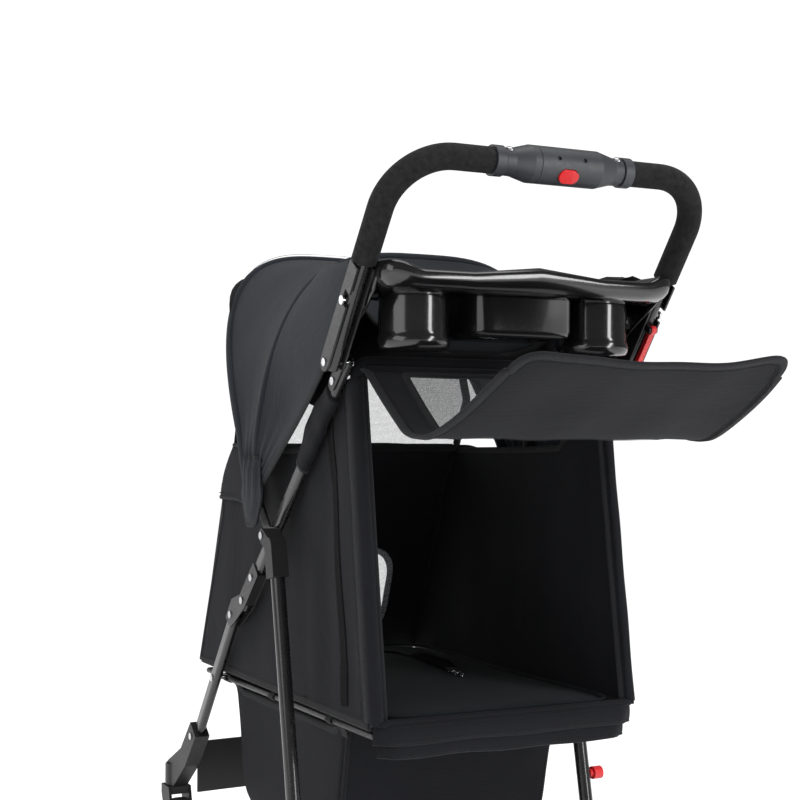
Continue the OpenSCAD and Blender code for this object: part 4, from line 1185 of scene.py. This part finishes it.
def superellipse(a, b, power, centre=(0.0, 0.0), n=96):
    t = np.linspace(0, 2 * np.pi, n, endpoint=False)
    c, s = np.cos(t), np.sin(t)
    x, y = (k * np.sign(v) * np.abs(v) ** (2 / power) for k, v in ((a, c), (b, s)))
    return np.stack([x + centre[0], y + centre[1]], 1)


def rings_mesh(name, rings, mat, first_closed=False, last_closed=False):
    """Loops of equal length joined one to the next, with either end closed to its middle."""
    p = np.array(rings, float)
    m, n = p.shape[:2]
    verts = list(p.reshape(-1, 3))
    faces = [(i * n + k, i * n + (k + 1) % n, (i + 1) * n + (k + 1) % n, (i + 1) * n + k)
             for i in range(m - 1) for k in range(n)]
    for closed, row in ((first_closed, 0), (last_closed, m - 1)):
        if closed:
            verts.append(p[row].mean(0))
            faces += [(row * n + k, row * n + (k + 1) % n, len(verts) - 1) for k in range(n)]
    return make(name, verts, faces, mat)


def rim_height(x):
    """The rim rises to the cheeks at its ends and over the pocket, and dips at the cups."""
    x = np.abs(x)
    return TRAY_TOP + 0.011 * ease((x - 0.150) / 0.040) + 0.009 * ease((0.090 - x) / 0.055)


def tray_rim():
    """Rolled lip and curved skirt of the tray."""
    loop = superellipse(*TRAY_HALF, 9, (0, TRAY_MID), 220)
    profile = [  # inset, drop
        (0.0210, 0.0095), (0.0140, 0.0045), (0.0085, 0.0010), (0.0050, 0.0), (0.0018, 0.0009),
        (0.0, 0.0036), (0.0003, 0.0078), (0.0020, 0.0118), (0.0052, 0.0150), (0.0100, 0.0174),
        (0.0180, 0.0190), (0.0290, 0.0200),
    ]
    rings = []
    for inner, drop in profile:
        q = (loop - (0, TRAY_MID)) * (1 - inner / TRAY_HALF) + (0, TRAY_MID)
        rise = (rim_height(loop[:, 0]) - TRAY_TOP) * (1 - drop / 0.020)
        rings.append(np.column_stack([q, TRAY_TOP + rise - drop]))
    ob = rings_mesh("tray_rim", rings, GLOSS)
    return thicken(ob, 0.0024, -1.0), rings


def gloss(ob, replaced=()):
    return settle(ob, "frame", "gloss_plastic", replaced)


rim_piece, tray_rings = tray_rim()
gloss(rim_piece, ["cup_tray"])
CUPS = [superellipse(0.0405, 0.0405, 2, (side * CUP_AT[0], CUP_AT[1]), 48) for _, side in SIDES]
POCKET = superellipse(0.0665, 0.0545, 6, POCKET_AT, 72)


def tray_plate(name, rim_ring, z):
    """Flat plate inside a ring of the rim, open at the cups and the pocket."""
    gloss(cut_sheet(name, rim_ring[:, :2], [*CUPS, POCKET], 0.009,
                    lambda q: np.column_stack([q, np.full(len(q), z)]), GLOSS, 0.0022))


tray_plate("tray_deck", tray_rings[0], 0.8405)
tray_plate("tray_underside", tray_rings[-1], 0.8308)
CUP_PROFILE = [  # radius, height: up the inside, over the lip, down the outside to a flared foot
    (0.0340, 0.7702), (0.0376, 0.7712), (0.0386, 0.7745), (0.0388, 0.8380), (0.0394, 0.8432),
    (0.0412, 0.8452), (0.0434, 0.8446), (0.0442, 0.8422), (0.0432, 0.8400), (0.0415, 0.8385),
    (0.0412, 0.8360), (0.0412, 0.8240), (0.0411, 0.8000), (0.0411, 0.7870), (0.0412, 0.7835),
    (0.0424, 0.7812), (0.0430, 0.7770), (0.0424, 0.7712), (0.0400, 0.7672), (0.0350, 0.7656),
]
POCKET_PROFILE = [  # inset, height
    (0.006, 0.7850), (0.0036, 0.7862), (0.0030, 0.7890), (0.0028, 0.8440), (0.0018, 0.8490),
    (0.0, 0.8504), (-0.0022, 0.8496), (-0.0028, 0.8468), (0.0, 0.8440), (0.0004, 0.7900),
    (0.0020, 0.7850), (0.0060, 0.7825),
]
CHEEK = rounded([(-0.128, 0.770), (-0.080, 0.825), (-0.080, 0.846), (-0.104, 0.862),
                 (-0.205, 0.862), (-0.232, 0.849), (-0.218, 0.830)],
                [0.004, 0.008, 0.008, 0.012, 0.012, 0.003, 0.006])


def tray_well(name, outline, profile, n):
    """Moulded well, closed at the bottom inside and out; outline(v) is the loop at a profile's v."""
    rings = [np.column_stack([outline(v), np.full(n, z)]) for v, z in profile]
    gloss(rings_mesh(name, rings, GLOSS, True, True))


def cheek_map(side):
    def to3d(q):
        tuck = 0.010 * ease((0.842 - q[:, 1]) / 0.07) * ease((-0.125 - q[:, 0]) / 0.07)
        return np.stack([side * (0.1938 - tuck), q[:, 0], q[:, 1]], 1)

    return to3d


for tag, side in SIDES:
    at = (side * CUP_AT[0], CUP_AT[1])
    tray_well(f"tray_cup_{tag}", lambda r: superellipse(r, r, 2, at, 64), CUP_PROFILE, 64)
    gloss(cut_sheet(f"tray_cheek_{tag}", CHEEK, [], 0.007, cheek_map(side), GLOSS, 0.0026))
tray_well("tray_pocket", lambda d: superellipse(0.068 - d, 0.056 - d, 6, POCKET_AT, 96),
          POCKET_PROFILE, 96)


# ------------------------------------------------ small fabric and metal on the frame

TUBE = unit(KNEE - PIVOT)
TUBE_UP = np.array((-TUBE[1], TUBE[0]))


def tube_sleeve(tag, side):
    """Cloth sleeve round the upper tube, fullest near its lower end, with a cuff."""
    s = np.linspace(0.048, 0.172, 26)
    t = (s - s[0]) / (s[-1] - s[0])
    yz = PIVOT + TUBE * s[:, None] + TUBE_UP * (0.007 * np.sin(np.pi * t))[:, None]
    path = np.column_stack([side * (0.1896 + 0.0006 * np.sin(s * 160)), yz])
    wide = 0.0290 + 0.0140 * np.sin(np.pi * ease(t * 0.9)) ** 0.8 - 0.006 * t
    shape = {"sides": 20, "square": 2.4}
    trim(f"tube_sleeve_{tag}", path, wide, 0.0158 - 0.0012 * t, (side, 0, 0), "frame",
         MAT["black_fabric"], **shape)
    mouth = path[-1] + np.outer(np.linspace(-0.002, 0.004, 4), (0, *TUBE))
    trim(f"tube_sleeve_cuff_{tag}", mouth, wide[-1] + 0.002, 0.0158, (side, 0, 0), "frame", **shape)
    rows = [(path + (side * 0.0078, *(TUBE_UP * k)), (side, 0, 0), 0.0004) for k in (0.006, -0.006)]
    sew(f"tube_sleeve_stitches_{tag}", rows, "frame")


for tag, side in SIDES:
    tube_sleeve(tag, side)


def dome(name, at, axis, r, h, mat, rings=7, sides=24):
    """Domed rivet head with a small flat rim."""
    a1 = unit(np.cross(axis, (0.3, 0.5, 0.8)))
    a2 = np.cross(axis, a1)
    profile = [(r, 0.0), (r * 1.02, h * 0.12)]
    profile += [(r * math.cos(t), h * (0.15 + 0.85 * math.sin(t)))
                for t in np.linspace(0.15, 1.45, rings)]
    turn = np.linspace(0, 2 * np.pi, sides, endpoint=False)
    around = np.outer(np.cos(turn), a1) + np.outer(np.sin(turn), a2)
    verts = np.vstack([*(at + around * q + axis * z for q, z in profile), at + axis * h])
    step = [(k, (k + 1) % sides) for k in range(sides)]
    last, top = (len(profile) - 1) * sides, len(verts) - 1
    faces = [(b + k, b + m, b + sides + m, b + sides + k)
             for b in range(0, last, sides) for k, m in step]
    faces += [(last + k, last + m, top) for k, m in step]
    faces.append(tuple(reversed(range(sides))))
    return make(name, verts, faces, mat)


# Rivets on the handle's housing, on its upper rear face
lean = np.array((-math.sin(HANDLE_LEAN), math.cos(HANDLE_LEAN)))
RIVET_OUT = np.array((0, -math.cos(math.radians(55)), math.sin(math.radians(55))))
for tag, side in SIDES:
    at = np.array((side * 0.0715, *(PIVOT + lean * REACH))) + RIVET_OUT * 0.0155
    rivet = dome(f"grip_rivet_{tag}", at, RIVET_OUT, 0.0046, 0.0026, STEEL)
    settle(rivet, "handle", "bright_steel")


# ------------------------------------------------ stage, camera, light

def stage_floor():
    m = Mat("pale_floor", (0.95, 0.95, 0.95), 0.9, Specular_IOR_Level=0.0)
    m.use("Base Color", m.mix(m.ramp(m.noise(0.8, 2), 0.3, 0.7), (0.95,) * 3, (0.96,) * 3))
    disc = superellipse(60, 60, 2, n=64)
    verts = np.column_stack([disc, np.zeros(64)])
    make("studio_floor", verts, [range(64)], m.m, False)


def camera():
    """Camera behind the stroller and to its left, at about the height of its cabin."""
    yaw, pitch, roll = (math.radians(v) for v in (26.896, -1.354, 0.249))
    level = Vector((math.sin(yaw), math.cos(yaw), 0))
    ahead = level * math.cos(pitch) - Vector((0, 0, math.sin(pitch)))
    right = Vector((math.cos(yaw), -math.sin(yaw), 0))
    up = right.cross(ahead)
    r2 = right * math.cos(roll) + up * math.sin(roll)
    u2 = up * math.cos(roll) - right * math.sin(roll)
    cam = bpy.data.objects.new("camera", bpy.data.cameras.new("camera"))
    bpy.context.scene.collection.objects.link(cam)
    cam.data.lens, cam.data.sensor_width = 68.56, 36
    m = Matrix((r2, u2, -ahead)).transposed().to_4x4()
    m.translation = (-0.9378, -1.7508, 0.6666)
    cam.matrix_world = m
    cam.data.clip_start, cam.data.clip_end = 0.05, 200
    bpy.context.scene.camera = cam


def softbox(name, at, target, size, power):
    data = bpy.data.lights.new(name, "AREA")
    data.shape, data.size, data.size_y = "RECTANGLE", *size
    data.energy = power
    ob = bpy.data.objects.new(name, data)
    bpy.context.scene.collection.objects.link(ob)
    ob.location = at
    ob.rotation_euler = (Vector(target) - Vector(at)).to_track_quat("-Z", "Z").to_euler()


def studio():
    """White surroundings, dimmer in reflections so that gloss black stays black, and softboxes."""
    world = bpy.data.worlds.new("studio")
    bpy.context.scene.world = world
    world.use_nodes = True
    t = world.node_tree
    bg = t.nodes["Background"]
    bg.inputs["Color"].default_value = (1, 1, 1, 1)
    path = t.nodes.new("ShaderNodeLightPath")
    level = t.nodes.new("ShaderNodeMapRange")
    t.links.new(path.outputs["Is Glossy Ray"], level.inputs["Value"])
    level.inputs["To Min"].default_value, level.inputs["To Max"].default_value = 1.08, 0.16
    t.links.new(level.outputs[0], bg.inputs["Strength"])
    bpy.context.scene.view_settings.view_transform = "Standard"
    softbox("strip_right", (1.15, -2.45, 1.15), (0, -0.05, 0.62), (0.45, 1.9), 30)
    softbox("fill_left", (-2.6, -0.9, 1.3), (0, 0, 0.6), (1.4, 1.8), 15)
    softbox("overhead", (0.1, -0.3, 2.9), (0, 0, 0.5), (2.2, 1.6), 22)
    softbox("front_left", (-1.6, 2.2, 1.5), (0, 0.1, 0.6), (1.0, 1.6), 11)


stage_floor()
camera()
studio()
